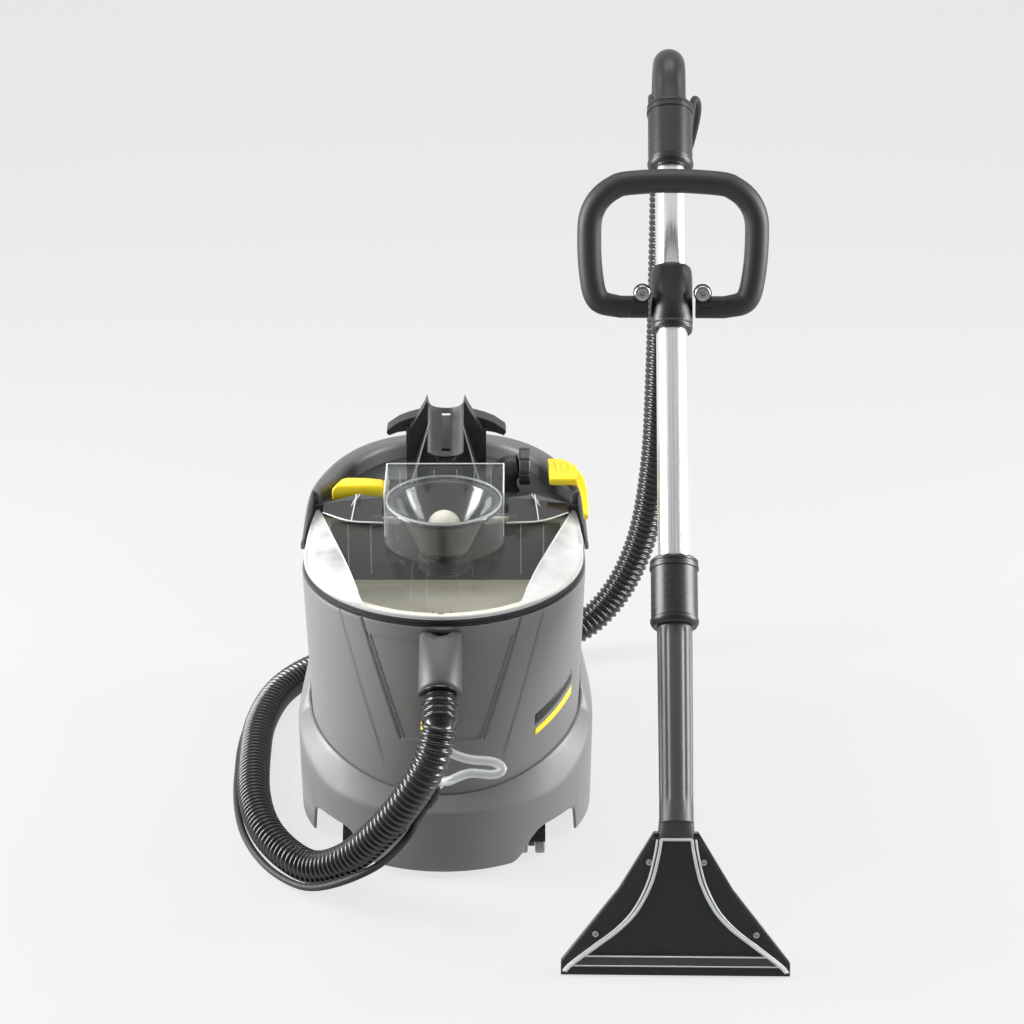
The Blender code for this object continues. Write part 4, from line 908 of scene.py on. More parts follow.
def make_cover_edges():
    """The moulded creases of the cover, drawn as milky strips that paint highlights along its edges, and the two
    dark facets in front of the deck.
    """
    def strip(points, radius):
        return (sweep(smooth_curve([Vector(p) for p in points], 0.006), lambda run: radius, 8),
                Matrix.Identity(4))

    top = TURRET_TOP + 0.0002
    strips = []
    for side in (-1, 1):
        strips.append(strip([(side * 0.0905, -0.1050, 0.3251), (side * 0.1068, -0.0420, 0.3290),
                             (side * 0.1420, 0.0940, 0.3242)], 0.0009))
        x = side * (TURRET_RADIUS - 0.0006)
        strips.append(strip([(x, COVER_BACK - 0.001, top), (x, 0.5 * (COVER_BACK + TURRET_Y), top),
                             (x, TURRET_Y, top)],
                            0.0008))
        strips.append(strip([(x, COVER_BACK - 0.0006, 0.3300), (x, COVER_BACK - 0.0006, 0.3500),
                             (x, COVER_BACK - 0.0006, top)], 0.0009))
        strips.append(strip([(x, TURRET_Y, 0.3290), (x, TURRET_Y, 0.3480), (x, TURRET_Y, top)], 0.0006))
        strips.append(strip([(side * 0.0700, 0.0600, 0.3295), (side * 0.1080, 0.0660, 0.3290),
                             (side * 0.1400, 0.0900, 0.3280)], 0.0010))
        strips.append(strip([(side * 0.1060, 0.0650, 0.3300), (side * 0.1040, 0.0850, 0.3370),
                             (side * 0.1020, 0.1055, 0.3440)], 0.0008))
        low = [(side * 0.0720, 0.0605), (side * 0.1060, 0.0650), (side * 0.1400, 0.0880),
               (side * 0.1400, 0.1055),
               (side * 0.1020, 0.1060), (side * 0.0720, 0.1060)]
        high = [0.3290, 0.3288, 0.3280, 0.3330, 0.3436, 0.3400]
        rings = [[(x, y, 0.3274) for x, y in low], [(x, y, z) for (x, y), z in zip(low, high)]]
        finish_mesh(f"deck_facet_{'left' if side < 0 else 'right'}", loft(rings), CUP,
                    "cover", (), M,
                    sharp=20)
    back = [(-TURRET_RADIUS, COVER_BACK - 0.0004, top), (0.0, COVER_BACK - 0.0004, top),
            (TURRET_RADIUS, COVER_BACK - 0.0004, top)]
    strips.append(strip(back, 0.0008))
    # The crease strips paint white highlights along the cover's edges.
    finish_mesh("cover_crease_highlights", join_shapes(*strips), RIDGE_HIGHLIGHT, "cover", (), M, sharp=60)


make_unit()
make_float()
make_cover()


# ---- head, rim and controls --------------------------------------------------------------
def make_head():
    bottom = RIM_Z + GAP
    out = TANK_RIM - 0.0001
    rings = [rear_ring(out - 0.0008, HEAD_FRONT + 0.0008, bottom),
             rear_ring(out, HEAD_FRONT, bottom + 0.001),
             rear_ring(out, HEAD_FRONT, HEAD_DECK_Z - 0.0010),
             rear_ring(out - 0.0008, HEAD_FRONT + 0.0008, HEAD_DECK_Z)]
    deck = finish_mesh("head_deck", loft(rings), DARK, "root", ("motor_head",), M,
                       sharp=35)
    pocket = tool(block((0.104, 0.046, 0.012), (-0.0800, 0.1600, HEAD_DECK_Z)))
    groove = tool(block((0.19, 0.0016, 0.004), (0.0, 0.1120, HEAD_DECK_Z)))
    apply_booleans(deck, [("DIFFERENCE", pocket), ("DIFFERENCE", groove)])

    window = finish_mesh("counter_plate", block((0.040, 0.036, 0.0052),
                                                (-0.086, 0.1585, HEAD_DECK_Z - 0.0028)),
                         BLACK, "root", ("counter_window",), M)
    add_bevel(window, 0.0008)
    edge = [(-0.0185, -0.0165), (0.0185, -0.0165), (0.0185, 0.0165), (-0.0185, 0.0165)]
    inner = [(x * 0.925, y * 0.915) for x, y in edge]
    rings = [[(x, y, z) for x, y in edge] for z in (0.0, 0.0004)] + [[(x, y, z) for x,
                                                                      y in inner] for z in (0.0004, 0.0)]
    finish_mesh("plate_outline", loft(rings, closed=True), CREAM, "root",
                matrix=M @ Matrix.Translation((-0.086, 0.1585, HEAD_DECK_Z - 0.0001)))

    def section(angle, outer, inner_half, low, top):
        a, b = Vector(outline_at(angle, outer)), Vector(outline_at(angle, inner_half))
        rows = [(0.0, low), (0.0, top - 0.0055), (0.03, top - 0.0035), (0.10, top - 0.0016),
                (0.24, top - 0.0002),
                (0.34, top), (0.72, top - 0.0006), (0.84, top - 0.0016), (0.93, top - 0.0034),
                (0.985, top - 0.0060),
                (1.0, top - 0.0090), (1.0, low)]
        return [(*a.lerp(b, t), z) for t, z in rows]

    def proud(y):
        return TANK_RIM + 0.0012 + 0.0036 * (1 - ease(0.115, 0.165, y))

    start = angle_where(0.1125, TANK_RIM)
    reach = 2 * (math.pi - start)
    rings = []
    for k in range(97):
        angle = start + reach * k / 96
        y = outline_at(angle, TANK_RIM)[1]
        top = HANDLE_TOP - 0.006 * (1 - ease(0.11, 0.16, y))
        width = 0.0060 + 0.0150 * ease(0.112, 0.160, y)
        rings.append(section(angle, proud(y), TANK_RIM - width, HEAD_DECK_Z + GAP, top))
    rim = finish_mesh("carry_rim", loft(rings), RIM_GREY, "root", ("carry_handle",), M,
                      sharp=40)
    tools = []
    for side in (-1, 1):
        rings = []
        for k in range(33):
            y = 0.036 + (0.150 - 0.036) * k / 32
            angle = side * angle_where(y, TANK_RIM)
            top = RIM_Z + 0.006 + (HANDLE_TOP - 0.008 - RIM_Z - 0.006) * ease(0.03, 0.115, y)
            rings.append(section(angle, proud(y) - 0.0002, TANK_RIM + GAP, RIM_Z + GAP,
                                 max(top, RIM_Z + 0.0100)))
        tools.append(("UNION", finish_mesh("rim_arm", loft(rings), GREY, None, matrix=M, sharp=40)))
    apply_booleans(rim, tools)


def make_switches():
    outline = [(-0.0325, -0.0115), (-0.0310, -0.0130), (0.0290, -0.0130), (0.0325, 0.0020),
               (0.0300, 0.0070),
               (0.0100, 0.0120), (-0.0190, 0.0130), (-0.0250, 0.0100)]
    rows = [(0.97, -0.0055), (1.0, -0.0040), (1.0, 0.0040), (0.97, 0.0085), (0.88, 0.0115), (0.74, 0.0130)]
    rings = [[(x * s, y * s, z) for x, y in outline] for s, z in rows]
    suction = finish_mesh("suction_rocker", loft(rings), YELLOW, "vacuum_button",
                          ("suction_switch",),
                          M @ Matrix.Translation((-0.0985, 0.1255, 0.3386)), sharp=30)
    add_bevel(suction, 0.0012, 3)
    top = [(0.1190, 0.1100), (0.1230, 0.1090), (0.1500, 0.1088), (0.1520, 0.1010), (0.1545, 0.0850),
           (0.1565, 0.0620),
           (0.1570, 0.0480), (0.1616, 0.0480), (0.1622, 0.0640), (0.1612, 0.0860), (0.1592, 0.1090),
           (0.1560, 0.1240),
           (0.1480, 0.1460), (0.1380, 0.1640), (0.1330, 0.1670), (0.1180, 0.1688), (0.1165, 0.1660)]
    middle = Vector((0.1420, 0.1280))
    low = HANDLE_TOP + 0.0018
    rows = [(0.985, low), (1.0, low + 0.001), (1.0, low + 0.0052), (0.985, low + 0.0070),
            (0.95, low + 0.0080)]
    rings = []
    for s, z in rows:
        ring = []
        for x, y in top:
            spot = middle + (Vector((x, y)) - middle) * s
            drop = 0.0150 * ease(0.105, 0.045, y)
            ring.append((spot.x, spot.y, z - drop))
        rings.append(ring)
    spray = finish_mesh("spray_rocker", loft(rings), YELLOW, "spray_button",
                        ("spray_switch",), M,
                        sharp=30)
    ribs = []
    for k in range(4):
        x = 0.1245 + 0.0070 * k
        path = [Vector((x + 0.0010 * k - 0.0006, 0.1585 - 0.0020 * k, low + 0.0074)),
                Vector((x + 0.0035, 0.1390, low + 0.0084)), Vector((x + 0.0048, 0.1130, low + 0.0082))]
        ribs.append((sweep(smooth_curve(path, 0.004), lambda run: 0.0009, 10), Matrix.Identity(4)))
    finish_mesh("rocker_ribs", join_shapes(*ribs), YELLOW, "spray_button", (), M,
                sharp=60)
    add_bevel(spray, 0.0009, 2)


def make_exhaust():
    path = smooth_curve([(0.066, 0.152, HEAD_DECK_Z + GAP), (0.066, 0.152, 0.3370), (0.066, 0.152, 0.3440),
                         (0.0715, 0.1515, 0.3555), (0.0835, 0.151, 0.3590)], 0.0018)
    total = path_length(path)
    elbow = sweep(path, lambda run: 0.0158 - 0.0022 * ease(total - 0.010, total - 0.003, run), 48)
    foot = lathe([(0.0150, 0.0), (0.0176, 0.0), (0.0176, 0.0020), (0.0152, 0.0032)], 48, closed=True)
    shape = join_shapes((elbow, Matrix.Identity(4)),
                        (foot, Matrix.Translation((0.066, 0.152, HEAD_DECK_Z + GAP))))
    finish_mesh("exhaust_bend", shape, DARK, "root", ("exhaust_elbow",), M, sharp=40)
    rings = []
    sides = 144
    for r, z in ((0.0172, 0.0), (0.0206, 0.0), (0.0218, 0.0016), (0.0218, 0.0114), (0.0206, 0.0130),
                 (0.0172, 0.0130)):
        ring = []
        for k in range(sides):
            slot = (k % 18) < 2 and r > 0.0200
            radius = r - (0.0016 if slot else 0.0)
            a = 2 * math.pi * k / sides
            ring.append((radius * math.cos(a), radius * math.sin(a), z))
        rings.append(ring)
    collar = finish_mesh("exhaust_knob", loft(rings, closed=True), DARK,
                         "exhaust_ring",
                         ("exhaust_collar",), M @ along((0.0840, 0.1510, 0.3592), (1, 0, 0)), sharp=28)
    add_bevel(collar, 0.0003, 1)
    cap = [(0.0004, 0.0), (0.0150, 0.0), (0.0164, 0.0016), (0.0164, 0.0030), (0.0004, 0.0036)]
    finish_mesh("exhaust_cap", lathe(cap, 48), BLACK, "exhaust_ring", (),
                M @ along((0.0905, 0.1510, 0.3592), (1, 0, 0)))


def make_holder():
    low = HEAD_DECK_Z + GAP
    outline = [(-0.046, 0.154), (0.046, 0.154), (0.046, 0.188), (-0.046, 0.188)]
    rings = [[(x, y, z) for x, y in outline] for z in (low, low + 0.0735)]
    holder = finish_mesh("tool_holder", loft(rings), BLACK, "root", ("accessory_holder",),
                         M,
                         sharp=20)
    tools = []
    cheek = [(0.0150, 0.380), (0.0170, 0.4200), (0.0215, 0.4415), (0.0250, 0.4330), (0.0330, 0.4190),
             (0.0415, 0.4050), (0.045, 0.380)]
    wing = [(0.020, 0.398), (0.020, 0.4195), (0.032, 0.4170), (0.044, 0.4135), (0.055, 0.4090),
            (0.0680, 0.3995),
            (0.0690, 0.3960), (0.0665, 0.3925), (0.056, 0.3965), (0.044, 0.3985)]
    for side in (-1, 1):
        for points, front, rear in ((cheek, 0.1515, 0.1700), (wing, 0.163, 0.1845)):
            bm = prism([(side * x, z) for x, z in points], front, rear, "Y")
            tools.append(("UNION", tool(bm)))
    foot = [[(-0.046, 0.1155, low), (0.046, 0.1155, low), (0.046, 0.160, low), (-0.046, 0.160, low)],
            [(-0.017, 0.140, 0.425), (0.017, 0.140, 0.425), (0.017, 0.160, 0.425), (-0.017, 0.160, 0.425)]]
    tools.append(("UNION", tool(loft(foot))))
    axis = Vector((0, 0.64, 0.768)).normalized()
    place = M @ along((0, 0.116, 0.3915), axis)
    tools.append(("DIFFERENCE", tool(lathe([(0.0208, -0.008), (0.0208, 0.09)], 64), place)))
    apply_booleans(holder, tools)
    add_bevel(holder, 0.0009, 2, 35)
    for side in (-1, 1):
        edge = [Vector((side * 0.0452, 0.1158, low + 0.001)), Vector((side * 0.0300, 0.1275, 0.3790)),
                Vector((side * 0.0178, 0.1385, 0.4200))]
        strip = sweep(smooth_curve(edge, 0.003), lambda run: 0.0011, 10)
        finish_mesh(f"holder_edge_{'left' if side < 0 else 'right'}", strip, GREY, "root",
                    (), M,
                    sharp=60)

    arc = [math.radians(4 + 172 * k / 48) for k in range(49)]
    ring = [(0.0205 * math.cos(a), 0.0205 * math.sin(a)) for a in arc]
    ring += [(0.0180 * math.cos(a), 0.0180 * math.sin(a)) for a in reversed(arc)]
    turned = along((0, 0.116, 0.3915), axis)
    if (turned.to_3x3() @ Vector((0, 1, 0))).z > 0:
        turned = turned @ Matrix.Rotation(math.pi, 4, "Z")
    where = M @ turned @ Matrix.Translation((0, 0, 0.001))
    cradle = finish_mesh("tube_cradle", prism(ring, 0.0, 0.058), GREY, "root",
                         ("holder_cradle",),
                         where, sharp=30)
    slots = []
    for z in (0.0075, 0.0505):
        slot = tool(block((0.0105, 0.010, 0.0032), (0, 0.0185, z)), where)
        add_bevel(slot, 0.0014, 3)
        slots.append(("DIFFERENCE", slot))
    apply_booleans(cradle, slots)
    add_bevel(cradle, 0.0007)


def make_port():
    pipe = [(0.0165, -0.070), (0.0232, -0.070), (0.0232, -0.0060), (0.0228, -0.0030), (0.0217, -0.0006),
            (0.0208, 0.0), (0.0165, 0.0)]
    port = finish_mesh("port_pipe", lathe(pipe, 96, closed=True), DARK, "root",
                       ("hose_port",),
                       along(PORT_MOUTH, PORT_AXIS), sharp=40)
    even = even_angles(2.0)
    wall = [ring_at(even, lambda a, z=z: tank_half(z) - 0.0004, lambda a, z=z: z) for z in (0.20, 0.34)]
    wall = tool(loft(wall))
    roof = tool(block((0.1, 0.1, 0.04), (0, -0.17, RIM_Z - 0.0035 + 0.02)))
    apply_booleans(port, [("DIFFERENCE", wall), ("DIFFERENCE", roof)])
    cuff = [(0.0160, 0.0), (0.0222, 0.0), (0.0226, 0.0006), (0.0226, 0.0022), (0.0205, 0.0028),
            (0.0172, 0.0034),
            (0.0172, 0.0064), (0.0190, 0.0072), (0.0200, 0.0086), (0.0190, 0.0100), (0.0172, 0.0108),
            (0.0172, 0.0138), (0.0190, 0.0146), (0.0196, CUFF_LENGTH), (0.0160, CUFF_LENGTH)]
    finish_mesh("machine_cuff", lathe(cuff, 96, closed=True), RIBBED, "cuff_machine",
                ("hose_cuff_machine",), along(PORT_MOUTH + PORT_AXIS * GAP, PORT_AXIS), sharp=40)

    place = M @ along(COUPLING_AT, (0, -1, 0))
    body = [(0.0040, -0.024), (0.0068, -0.024), (0.0068, 0.0040), (0.0164, 0.0040), (0.0170, 0.0046),
            (0.0170, 0.0068), (0.0164, 0.0075), (0.0085, 0.0080), (0.0085, 0.0130), (0.0078, 0.0140),
            (0.0078, 0.0270),
            (0.0085, 0.0275), (0.0085, 0.0295), (0.0080, 0.030), (0.0040, 0.030)]
    finish_mesh("coupling_stem", lathe(body, 64, closed=True), BLACK, "root",
                ("coupling_body",),
                place, sharp=40)
    rings = []
    for r, z in ((0.0088, 0.0140), (0.0150, 0.0140), (0.0178, 0.0168), (0.0178, 0.0237), (0.0150, 0.0265),
                 (0.0088, 0.0265)):
        rings.append([((r - (0.0005 if r > 0.017 and k % 6 < 2 else 0)) * math.cos(math.pi * k / 72),
                       (r - (0.0005 if r > 0.017 and k % 6 < 2 else 0)) * math.sin(math.pi * k / 72), z)
                      for k in range(144)])
    finish_mesh("coupling_ring", loft(rings, closed=True), YELLOW, "collar",
                ("coupling_collar",),
                place, sharp=30)


make_head()
make_switches()
make_exhaust()
make_holder()
make_port()


# ---- casters -----------------------------------------------------------------------------
def make_casters():
    for name in ("front_left", "front_right", "rear_left", "rear_right"):
        low, high = corners("caster_wheel_" + name)
        centre = 0.5 * (low + high)
        radius = 0.5 * (high.z - low.z)
        axis = Vector(joint("wheel_spin_" + name)["axis"]).normalized()
        inner, outer = 0.0042, 0.5 * (high.x - low.x)
        half = [(0.0030, 0.0), (0.0030, inner), (radius - 0.0022, inner), (radius - 0.0008, inner + 0.0006),
                (radius, inner + 0.0018), (radius, outer - 0.0018), (radius - 0.0008, outer - 0.0006),
                (radius - 0.0022, outer), (radius - 0.0042, outer), (radius - 0.0050, outer - 0.0010),
                (0.0065, outer - 0.0014), (0.0055, outer - 0.0004), (0.0004, outer)]
        for side in (-1, 1):
            wheel = [(r, z * side) for r, z in half]
            finish_mesh(f"wheel_{name}_{'a' if side < 0 else 'b'}", lathe(wheel, 64), WHEEL_GREY,
                        "wheel_" + name, ("caster_wheel_" + name,) if side > 0 else (),
                        along(centre, axis), sharp=30)


make_casters()


# ---- nozzle ------------------------------------------------------------------------------
HALF_MOUTH = 0.120
NOZZLE_LENGTH = 0.150
NOZZLE_LEAN = math.radians(22.0)
UP = Vector((0, 0, 1))
WAND_AXES = Matrix((WAND_X, UP.cross(WAND_X), UP)).transposed().to_4x4()
WAND = Matrix.Translation(TUBE_START) @ WAND_AXES @ Matrix.Translation(
    (0, -math.sin(NOZZLE_LEAN) * NOZZLE_LENGTH, -math.cos(NOZZLE_LEAN) * NOZZLE_LENGTH))
NOZZLE = WAND @ Matrix.Rotation(-NOZZLE_LEAN, 4, "X")


def make_nozzle():
    def flat(points, low, high):
        return prism(points, low, high, "Y")

    half, mouth = HALF_MOUTH, -0.008
    back = [(-half, mouth), (half, mouth), (half, 0.014), (0.060, 0.090), (0.0235, NOZZLE_LENGTH),
            (-0.0235, NOZZLE_LENGTH), (-0.060, 0.090), (-half, 0.014)]
    shell = finish_mesh("nozzle_back", flat(back, -0.0010, 0.0130), BLACK, "root",
                        ("nozzle_shell",), NOZZLE)
    inner = [(0.0045 - half, -0.02), (half - 0.0045, -0.02), (half - 0.0045, 0.012), (0.054, 0.090),
             (0.016, NOZZLE_LENGTH - 0.012), (-0.016, NOZZLE_LENGTH - 0.012), (-0.054, 0.090),
             (0.0045 - half, 0.012)]
    hollow = tool(flat(inner, 0.0015, 0.0100), NOZZLE)
    ground = tool(block((0.5, 0.3, 0.1), (0, 0, GAP - 0.05)), WAND)
    apply_booleans(shell, [("DIFFERENCE", hollow), ("DIFFERENCE", ground)])
    add_bevel(shell, 0.0010)

    front = [(-half, mouth), (half, mouth), (half, 0.013), (0.060, 0.088), (0.024, 0.146), (-0.024, 0.146),
             (-0.060, 0.088), (-half, 0.013)]
    cover = finish_mesh("nozzle_window", flat(front, -0.0040, -0.0013), CLEAR, "root",
                        ("nozzle_cover",), NOZZLE)
    ground = tool(block((0.5, 0.3, 0.1), (0, 0, GAP - 0.05)), WAND)
    apply_booleans(cover, [("DIFFERENCE", ground)])
    add_bevel(cover, 0.0007)

    ridges = []
    for side in (-1, 1):
        for shift, radius in ((0.0, 0.0017), (0.0042, 0.0011)):
            edge = [(0.0160 + shift, 0.1440), (0.0185 + shift, 0.1280), (0.0260 + shift, 0.0980),
                    (0.0400 + shift, 0.0700), (0.0580 + shift, 0.0500), (0.0820 + shift, 0.0315),
                    (0.1080 + shift * 0.8, 0.0120), (0.1155 + shift * 0.5, 0.0045)]
            path = [Vector((side * x, -0.0052, z)) for x, z in edge]
            ridges.append((sweep(smooth_curve(path, 0.003), lambda run, r=radius: r, 12),
                           Matrix.Identity(4)))
    lines = ((-0.097, 0.097, 0.0205, 0.0009), (-0.108, 0.108, 0.0105, 0.0008),
             (-0.0165, 0.0165, 0.1440, 0.0015))
    for left, right, z, radius in lines:
        path = [Vector((left + (right - left) * k / 40, -0.0050, z)) for k in range(41)]
        ridges.append((sweep(path, lambda run, r=radius: r, 12), Matrix.Identity(4)))
    # The window's raised ridges are real; their milky white material paints the highlight along them.
    finish_mesh("window_ridges", join_shapes(*ridges), RIDGE_HIGHLIGHT, "root", (), NOZZLE, sharp=60)
    band = [(-0.1040, 0.0120), (0.1040, 0.0120), (0.0965, 0.0192), (-0.0965, 0.0192)]
    strip = finish_mesh("mouth_band", flat(band, -0.0054, -0.0042), DARK, "root", (),
                        NOZZLE)
    add_bevel(strip, 0.0004)
    for k, (x, z) in enumerate(((-0.0285, 0.1200), (0.0285, 0.1200), (-0.0840, 0.0440), (0.0840, 0.0440))):
        head = [(0.0002, 0.0006), (0.0008, 0.0006), (0.0010, 0.0013), (0.0020, 0.0014), (0.0030, 0.0009),
                (0.0033, 0.0001), (0.0033, -0.0008), (0.0002, -0.0008)]
        finish_mesh(f"nozzle_screw_{k + 1}", lathe(head, 32), SCREW, "root", (),
                    NOZZLE @ along((x, -0.0043, z), (0, -1, 0)))


# ---- tube, nuts and handle ---------------------------------------------------------------
NECK_END = 0.225
LOWER_NUT_END = 0.302
TUBE_END = 0.772
UPPER_NUT_END = 0.855
TUBE_RADIUS = 0.0175
NUT_RADIUS = 0.0267
CLAMP_LOW = 0.571
CLAMP_HIGH = 0.647


def make_neck():
    rings = []
    sides = 96
    rows = [(0.0100, 0.0), (0.0120, 0.0), (0.0300, 0.0)] + [(0.034 + 0.186 * k / 20,
                                                             1.0) for k in range(21)]
    rows += [(0.2215, 0.0), (NECK_END, 0.0)]
    for z, flute in rows:
        radius = 0.0180 + 0.0012 * (z - 0.010) / (NECK_END - 0.010)
        ring = []
        for k in range(sides):
            a = 2 * math.pi * k / sides
            dip = 0.0009 * flute * (0.5 + 0.5 * math.cos(12 * a)) ** 3
            ring.append(((radius - dip) * math.cos(a), (radius - dip) * math.sin(a), z))
        rings.append(ring)
    inner = [[(0.0130 * math.cos(2 * math.pi * k / sides), 0.0130 * math.sin(2 * math.pi * k / sides), z)
              for k in range(sides)] for z in (NECK_END, 0.0100)]
    throat = finish_mesh("fluted_neck", loft(rings + inner, closed=True), NECK, "root",
                         ("neck_tube",), TUBE, sharp=35)
    clear = tool(block((0.08, 0.08, 0.030), (0, 0.010, -0.0085)), TUBE)
    apply_booleans(throat, [("DIFFERENCE", clear)])


def make_socket():
    """The moulded socket between the flat top of the nozzle and the round neck."""
    sides = 64
    rings = []
    shift = TUBE.inverted() @ NOZZLE
    for share in (0.0, 0.04, 0.3, 0.6, 0.85, 1.0):
        flat_z, round_z = 0.1485, 0.0205
        ring = []
        for k in range(sides):
            a = 2 * math.pi * k / sides
            c, s = math.cos(a), math.sin(a)
            x = 0.0196 * math.copysign(abs(c) ** 0.5, c)
            y = 0.0060 + 0.0098 * math.copysign(abs(s) ** 0.5, s)
            grow = 0.96 if share == 0.0 else 1.0
            low_at = shift @ Vector((x * grow, y * grow, flat_z - 0.0035))
            top_at = Vector((0.0178 * c, 0.0178 * s, round_z))
            ring.append(low_at.lerp(top_at, ease(0, 1, share)))
        rings.append(ring)
    finish_mesh("neck_socket", loft(rings), NECK, "root", (), TUBE, sharp=40)


def union_nut(name, low, high, body, node_name):
    """A knurled union nut: collar rings at both ends and fields of small grip dimples."""
    r = NUT_RADIUS
    profile = [(0.0180, low), (r - 0.0035, low), (r - 0.0028, low + 0.0006), (r - 0.0010, low + 0.0034),
               (r - 0.0004, low + 0.0050), (r - 0.0004, low + 0.0080), (r - 0.0016, low + 0.0088)]
    rows = 26
    for k in range(rows + 1):
        profile.append((r - 0.0014, low + 0.0095 + (high - 0.0225 - low) * k / rows))
    profile += [(r - 0.0014, high - 0.0125), (r, high - 0.0118), (r, high - 0.0082),
                (r - 0.0012, high - 0.0075),
                (r - 0.0012, high - 0.0055), (r - 0.0004, high - 0.0048), (r - 0.0006, high - 0.0022),
                (r - 0.0030, high), (0.0180, high)]
    sides = 128
    rings = [[(q * math.cos(2 * math.pi * k / sides), q * math.sin(2 * math.pi * k / sides), z)
              for k in range(sides)] for q, z in profile]
    nut = finish_mesh(name, loft(rings, closed=True), BLACK, body, (node_name,), TUBE,
                      sharp=40)
    dots = []
    for side in range(4):
        for column in range(4):
            for row in range(5):
                a = math.radians(90 * side - 90 - 27 + 13 * column)
                z = low + 0.019 + 0.0082 * row + (0.0041 if column % 2 else 0)
                if z > high - 0.020:
                    continue
                out = Vector((math.cos(a), math.sin(a), 0))
                dots.append((lathe([(0.0002, -0.001), (0.0011, -0.001), (0.0011, 0.0002), (0.0006, 0.0004),
                                    (0.0002, 0.0004)], 8),
                             along(out * (r - 0.0016) + Vector((0, 0, z)), out)))
    finish_mesh(name + "_dots", join_shapes(*dots), RUBBER, body, (), TUBE, sharp=50)
    return nut


def make_tube():
    start, end = LOWER_NUT_END - 0.060, UPPER_NUT_END - 0.030
    sides = 160
    rings = []
    for z in [start] + [start + (end - start) * k / 24 for k in range(1, 25)]:
        ring = []
        for k in range(sides):
            a = 2 * math.pi * k / sides
            turn = (math.degrees(a) + 90) % 180
            turn = min(turn, 180 - turn)
            line = 0.00035 * math.exp(-((turn - 9) / 1.6) ** 2) + 0.00030 * math.exp(-((turn - 48) / 1.6) ** 2)
            ring.append(((TUBE_RADIUS - line) * math.cos(a), (TUBE_RADIUS - line) * math.sin(a), z))
        rings.append(ring)
    inner = [[(0.0163 * math.cos(2 * math.pi * k / sides), 0.0163 * math.sin(2 * math.pi * k / sides), z)
              for k in range(sides)] for z in (end, start)]
    finish_mesh("bright_suction_tube", loft(rings + inner, closed=True), STEEL, "root",
                ("suction_tube",), TUBE, sharp=50)


def make_elbow():
    low = UPPER_NUT_END + GAP
    bend = 0.034
    turn = low + 0.032
    outer, inner = [], []
    path = [(Vector((0, 0, low)), 0.0), (Vector((0, 0, low + 0.0015)), 0.0),
            (Vector((0, 0, low + 0.010)), 0.0),
            (Vector((0, 0, low + 0.022)), 0.0), (Vector((0, 0, turn)), 0.0)]
    for k in range(1, 31):
        a = math.radians(135) * k / 30
        path.append((Vector((0, bend * (1 - math.cos(a)), turn + bend * math.sin(a))), a))
    tip, a = path[-1]
    path.append((tip + Vector((0, math.sin(a), math.cos(a))) * 0.012, a))
    for k, (spot, lean) in enumerate(path):
        side = Vector((0, math.cos(lean), -math.sin(lean)))
        grow = 0.0008 if k in (0, 1) else 0.0
        for radius, rings in ((0.0184 + grow, outer), (0.0160, inner)):
            rings.append([spot + radius * (Vector((1, 0, 0)) * math.cos(t) + side * math.sin(t))
                          for t in (2 * math.pi * i / 72 for i in range(72))])
    finish_mesh("hose_elbow", loft(outer + inner[::-1], closed=True), BLACK, "root",
                ("wand_elbow",), TUBE, sharp=50)
    spot, lean = path[-1]
    direction = Vector((0, math.sin(lean), math.cos(lean)))
    cuff = [(0.0160, 0.0), (0.0215, 0.0), (0.0222, 0.0005), (0.0225, 0.0015), (0.0225, 0.0080),
            (0.0218, 0.0086),
            (0.0218, 0.0100), (0.0225, 0.0106), (0.0225, 0.0280), (0.0221, 0.0305), (0.0205, 0.0340),
            (0.0160, 0.0340)]
    finish_mesh("wand_cuff", lathe(cuff, 96, closed=True), BLACK, "cuff_wand",
                ("hose_cuff_wand",), TUBE @ along(spot + direction * GAP, direction), sharp=40)


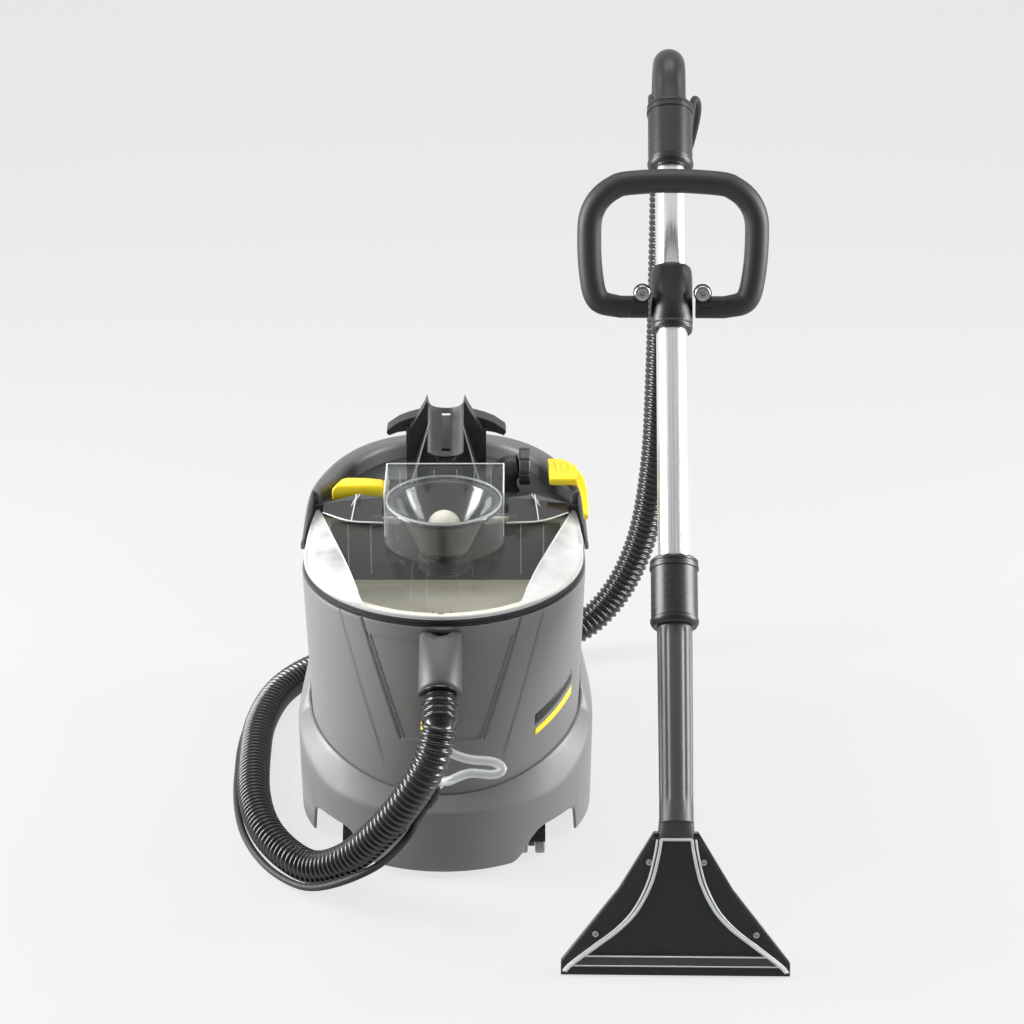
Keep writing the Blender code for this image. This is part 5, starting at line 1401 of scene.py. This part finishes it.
def make_d_handle():
    profile = [(0.0178, CLAMP_LOW), (0.0218, CLAMP_LOW), (0.0225, CLAMP_LOW + 0.0008),
               (0.0232, CLAMP_LOW + 0.0052),
               (0.0226, CLAMP_LOW + 0.0060), (0.0226, CLAMP_LOW + 0.0085), (0.0233, CLAMP_LOW + 0.0095),
               (0.0234, CLAMP_LOW + 0.0300), (0.0234, CLAMP_HIGH - 0.0120), (0.0230, CLAMP_HIGH - 0.0050),
               (0.0222, CLAMP_HIGH - 0.0008), (0.0214, CLAMP_HIGH), (0.0178, CLAMP_HIGH)]
    finish_mesh("tube_clamp", lathe(profile, 96, closed=True), BLACK, "grip",
                ("handle_clamp",),
                TUBE, sharp=40)
    middle = 0.5 * (CLAMP_LOW + CLAMP_HIGH)
    frame_place = TUBE @ Matrix.Translation((0, -0.012, middle)) @ Matrix.Rotation(math.radians(33), 4, "X")
    wide, tall, corner = 0.0930, 0.1270, 0.052
    right = [Vector((x, 0, z)) for x, z in ((0.0580, -0.012), (0.0780, -0.0075), (0.0860, 0.0020),
                                            (0.0900, 0.0200),
                                            (0.0925, 0.0450), (wide, tall - corner))]
    right += [Vector((wide - corner + corner * math.cos(a), 0,
                      tall - corner + corner * math.sin(a) ** 0.92))
              for a in (math.pi / 2 * k / 6 for k in range(1, 6))]
    right.append(Vector((0.018, 0, tall + 0.0012)))
    route = right + [Vector((-p.x, 0, p.z)) for p in reversed(right)]
    loop = smooth_curve(route, 0.003)
    loop = [Vector((0.0265, 0, -0.012)), Vector((0.0420, 0, -0.012))] + loop
    loop += [Vector((-0.0420, 0, -0.012)), Vector((-0.0265, 0, -0.012))]
    rings = []
    for k, spot in enumerate(loop):
        run = Vector((1, 0, 0))
        if 0 < k < len(loop) - 1:
            run = (loop[k + 1] - loop[k - 1]).normalized()
        normal = Vector((run.z, 0, -run.x))
        web = ease(0.020, 0.0, spot.z) * ease(0.088, 0.060, abs(spot.x))
        thin = 0.0134 - 0.0012 * web
        deep = 0.0128 - 0.0022 * web
        square = 1.0 - 0.35 * web
        ring = []
        for t in (2 * math.pi * i / 40 for i in range(40)):
            c, s = math.cos(t), math.sin(t)
            c = math.copysign(abs(c) ** square, c)
            s = math.copysign(abs(s) ** square, s)
            ring.append(spot + normal * (thin * c) + Vector((0, 1, 0)) * (deep * s))
        rings.append(ring)
    finish_mesh("grip_loop", loft(rings), GRIP, "grip", ("d_handle",), frame_place,
                sharp=50)
    for side in (-1, 1):
        name = "left" if side < 0 else "right"
        washer = [(0.0006, 0.0052), (0.0022, 0.0040), (0.0030, 0.0060), (0.0046, 0.0060), (0.0050, 0.0050),
                  (0.0052, 0.0016), (0.0080, 0.0014), (0.0086, 0.0008), (0.0086, -0.0012),
                  (0.0006, -0.0012)]
        finish_mesh("grip_bolt_" + name, lathe(washer, 48), SCREW, "grip", (),
                    frame_place @ along((side * 0.0335, -0.0112, 0.0050), (0, -1, 0)), sharp=30)
        boss = [(0.0004, 0.0), (0.0098, 0.0), (0.0100, 0.0010), (0.0100, 0.0078), (0.0004, 0.0078)]
        finish_mesh("grip_boss_" + name, lathe(boss, 48), GRIP, "grip", (),
                    frame_place @ along((side * 0.0335, -0.0035, 0.0050), (0, -1, 0)), sharp=30)
        pocket = block((0.0150, 0.0015, 0.0075), (side * 0.0400, -0.0112, -0.0155))
        made = finish_mesh("grip_pocket_" + name, pocket, RUBBER, "grip", (), frame_place)
        add_bevel(made, 0.0006)


def make_valve():
    valve = finish_mesh("spray_valve", block((0.018, 0.019, 0.046)), BLACK, "root",
                        ("valve_body",),
                        TUBE @ Matrix.Translation((0, 0.0371, 0.8320)))
    add_bevel(valve, 0.0030, 4)
    lever = block((0.012, 0.005, 0.070), (0, 0, -0.035))
    bmesh.ops.subdivide_edges(lever, edges=lever.edges, cuts=4, use_grid_fill=True)
    for v in lever.verts:
        v.co.y += 0.004 * ease(-0.040, -0.070, v.co.z) * 0.6
        v.co.x *= 1.0 - 0.20 * ease(-0.02, -0.07, v.co.z)
    lever = finish_mesh("valve_lever", lever, BLACK, "lever", ("spray_lever",),
                        TUBE @ Matrix.Translation((0, 0.0502, 0.8560)) @ Matrix.Rotation(math.radians(12),
                                                                                         4, "X"))
    add_bevel(lever, 0.0014, 3)
    jet = [(0.0060, 0.0), (0.0063, 0.0010), (0.0063, 0.0060), (0.0056, 0.0066), (0.0056, 0.0100),
           (0.0062, 0.0106),
           (0.0060, 0.0140), (0.0034, 0.0196), (0.0030, 0.0200), (0.0005, 0.0210)]
    finish_mesh("jet_tip", lathe(jet, 48), YELLOW, "root", ("spray_jet",),
                TUBE @ along((0, 0.0325, 0.0497), (0, 0, -1)))
    pipe = [(0, 0.0371, 0.8085), (0, 0.0371, 0.790), (0, 0.0340, 0.70), (0, 0.0340, 0.50),
            (0, 0.0340, 0.30),
            (0, 0.0340, 0.14), (0, 0.0325, 0.070), (0, 0.0325, 0.0505)]
    bm = sweep(smooth_curve(pipe, 0.008), lambda run: 0.0030, 24)
    finish_mesh("spray_tube", bm, STEEL, "root", ("spray_pipe",), TUBE, sharp=60)


make_nozzle()
make_neck()
make_socket()
union_nut("lower_union_nut", NECK_END + GAP, LOWER_NUT_END, "nut_low", "lower_nut")
union_nut("upper_union_nut", TUBE_END + GAP, UPPER_NUT_END, "nut_high", "upper_nut")
make_tube()
make_elbow()
make_d_handle()
make_valve()
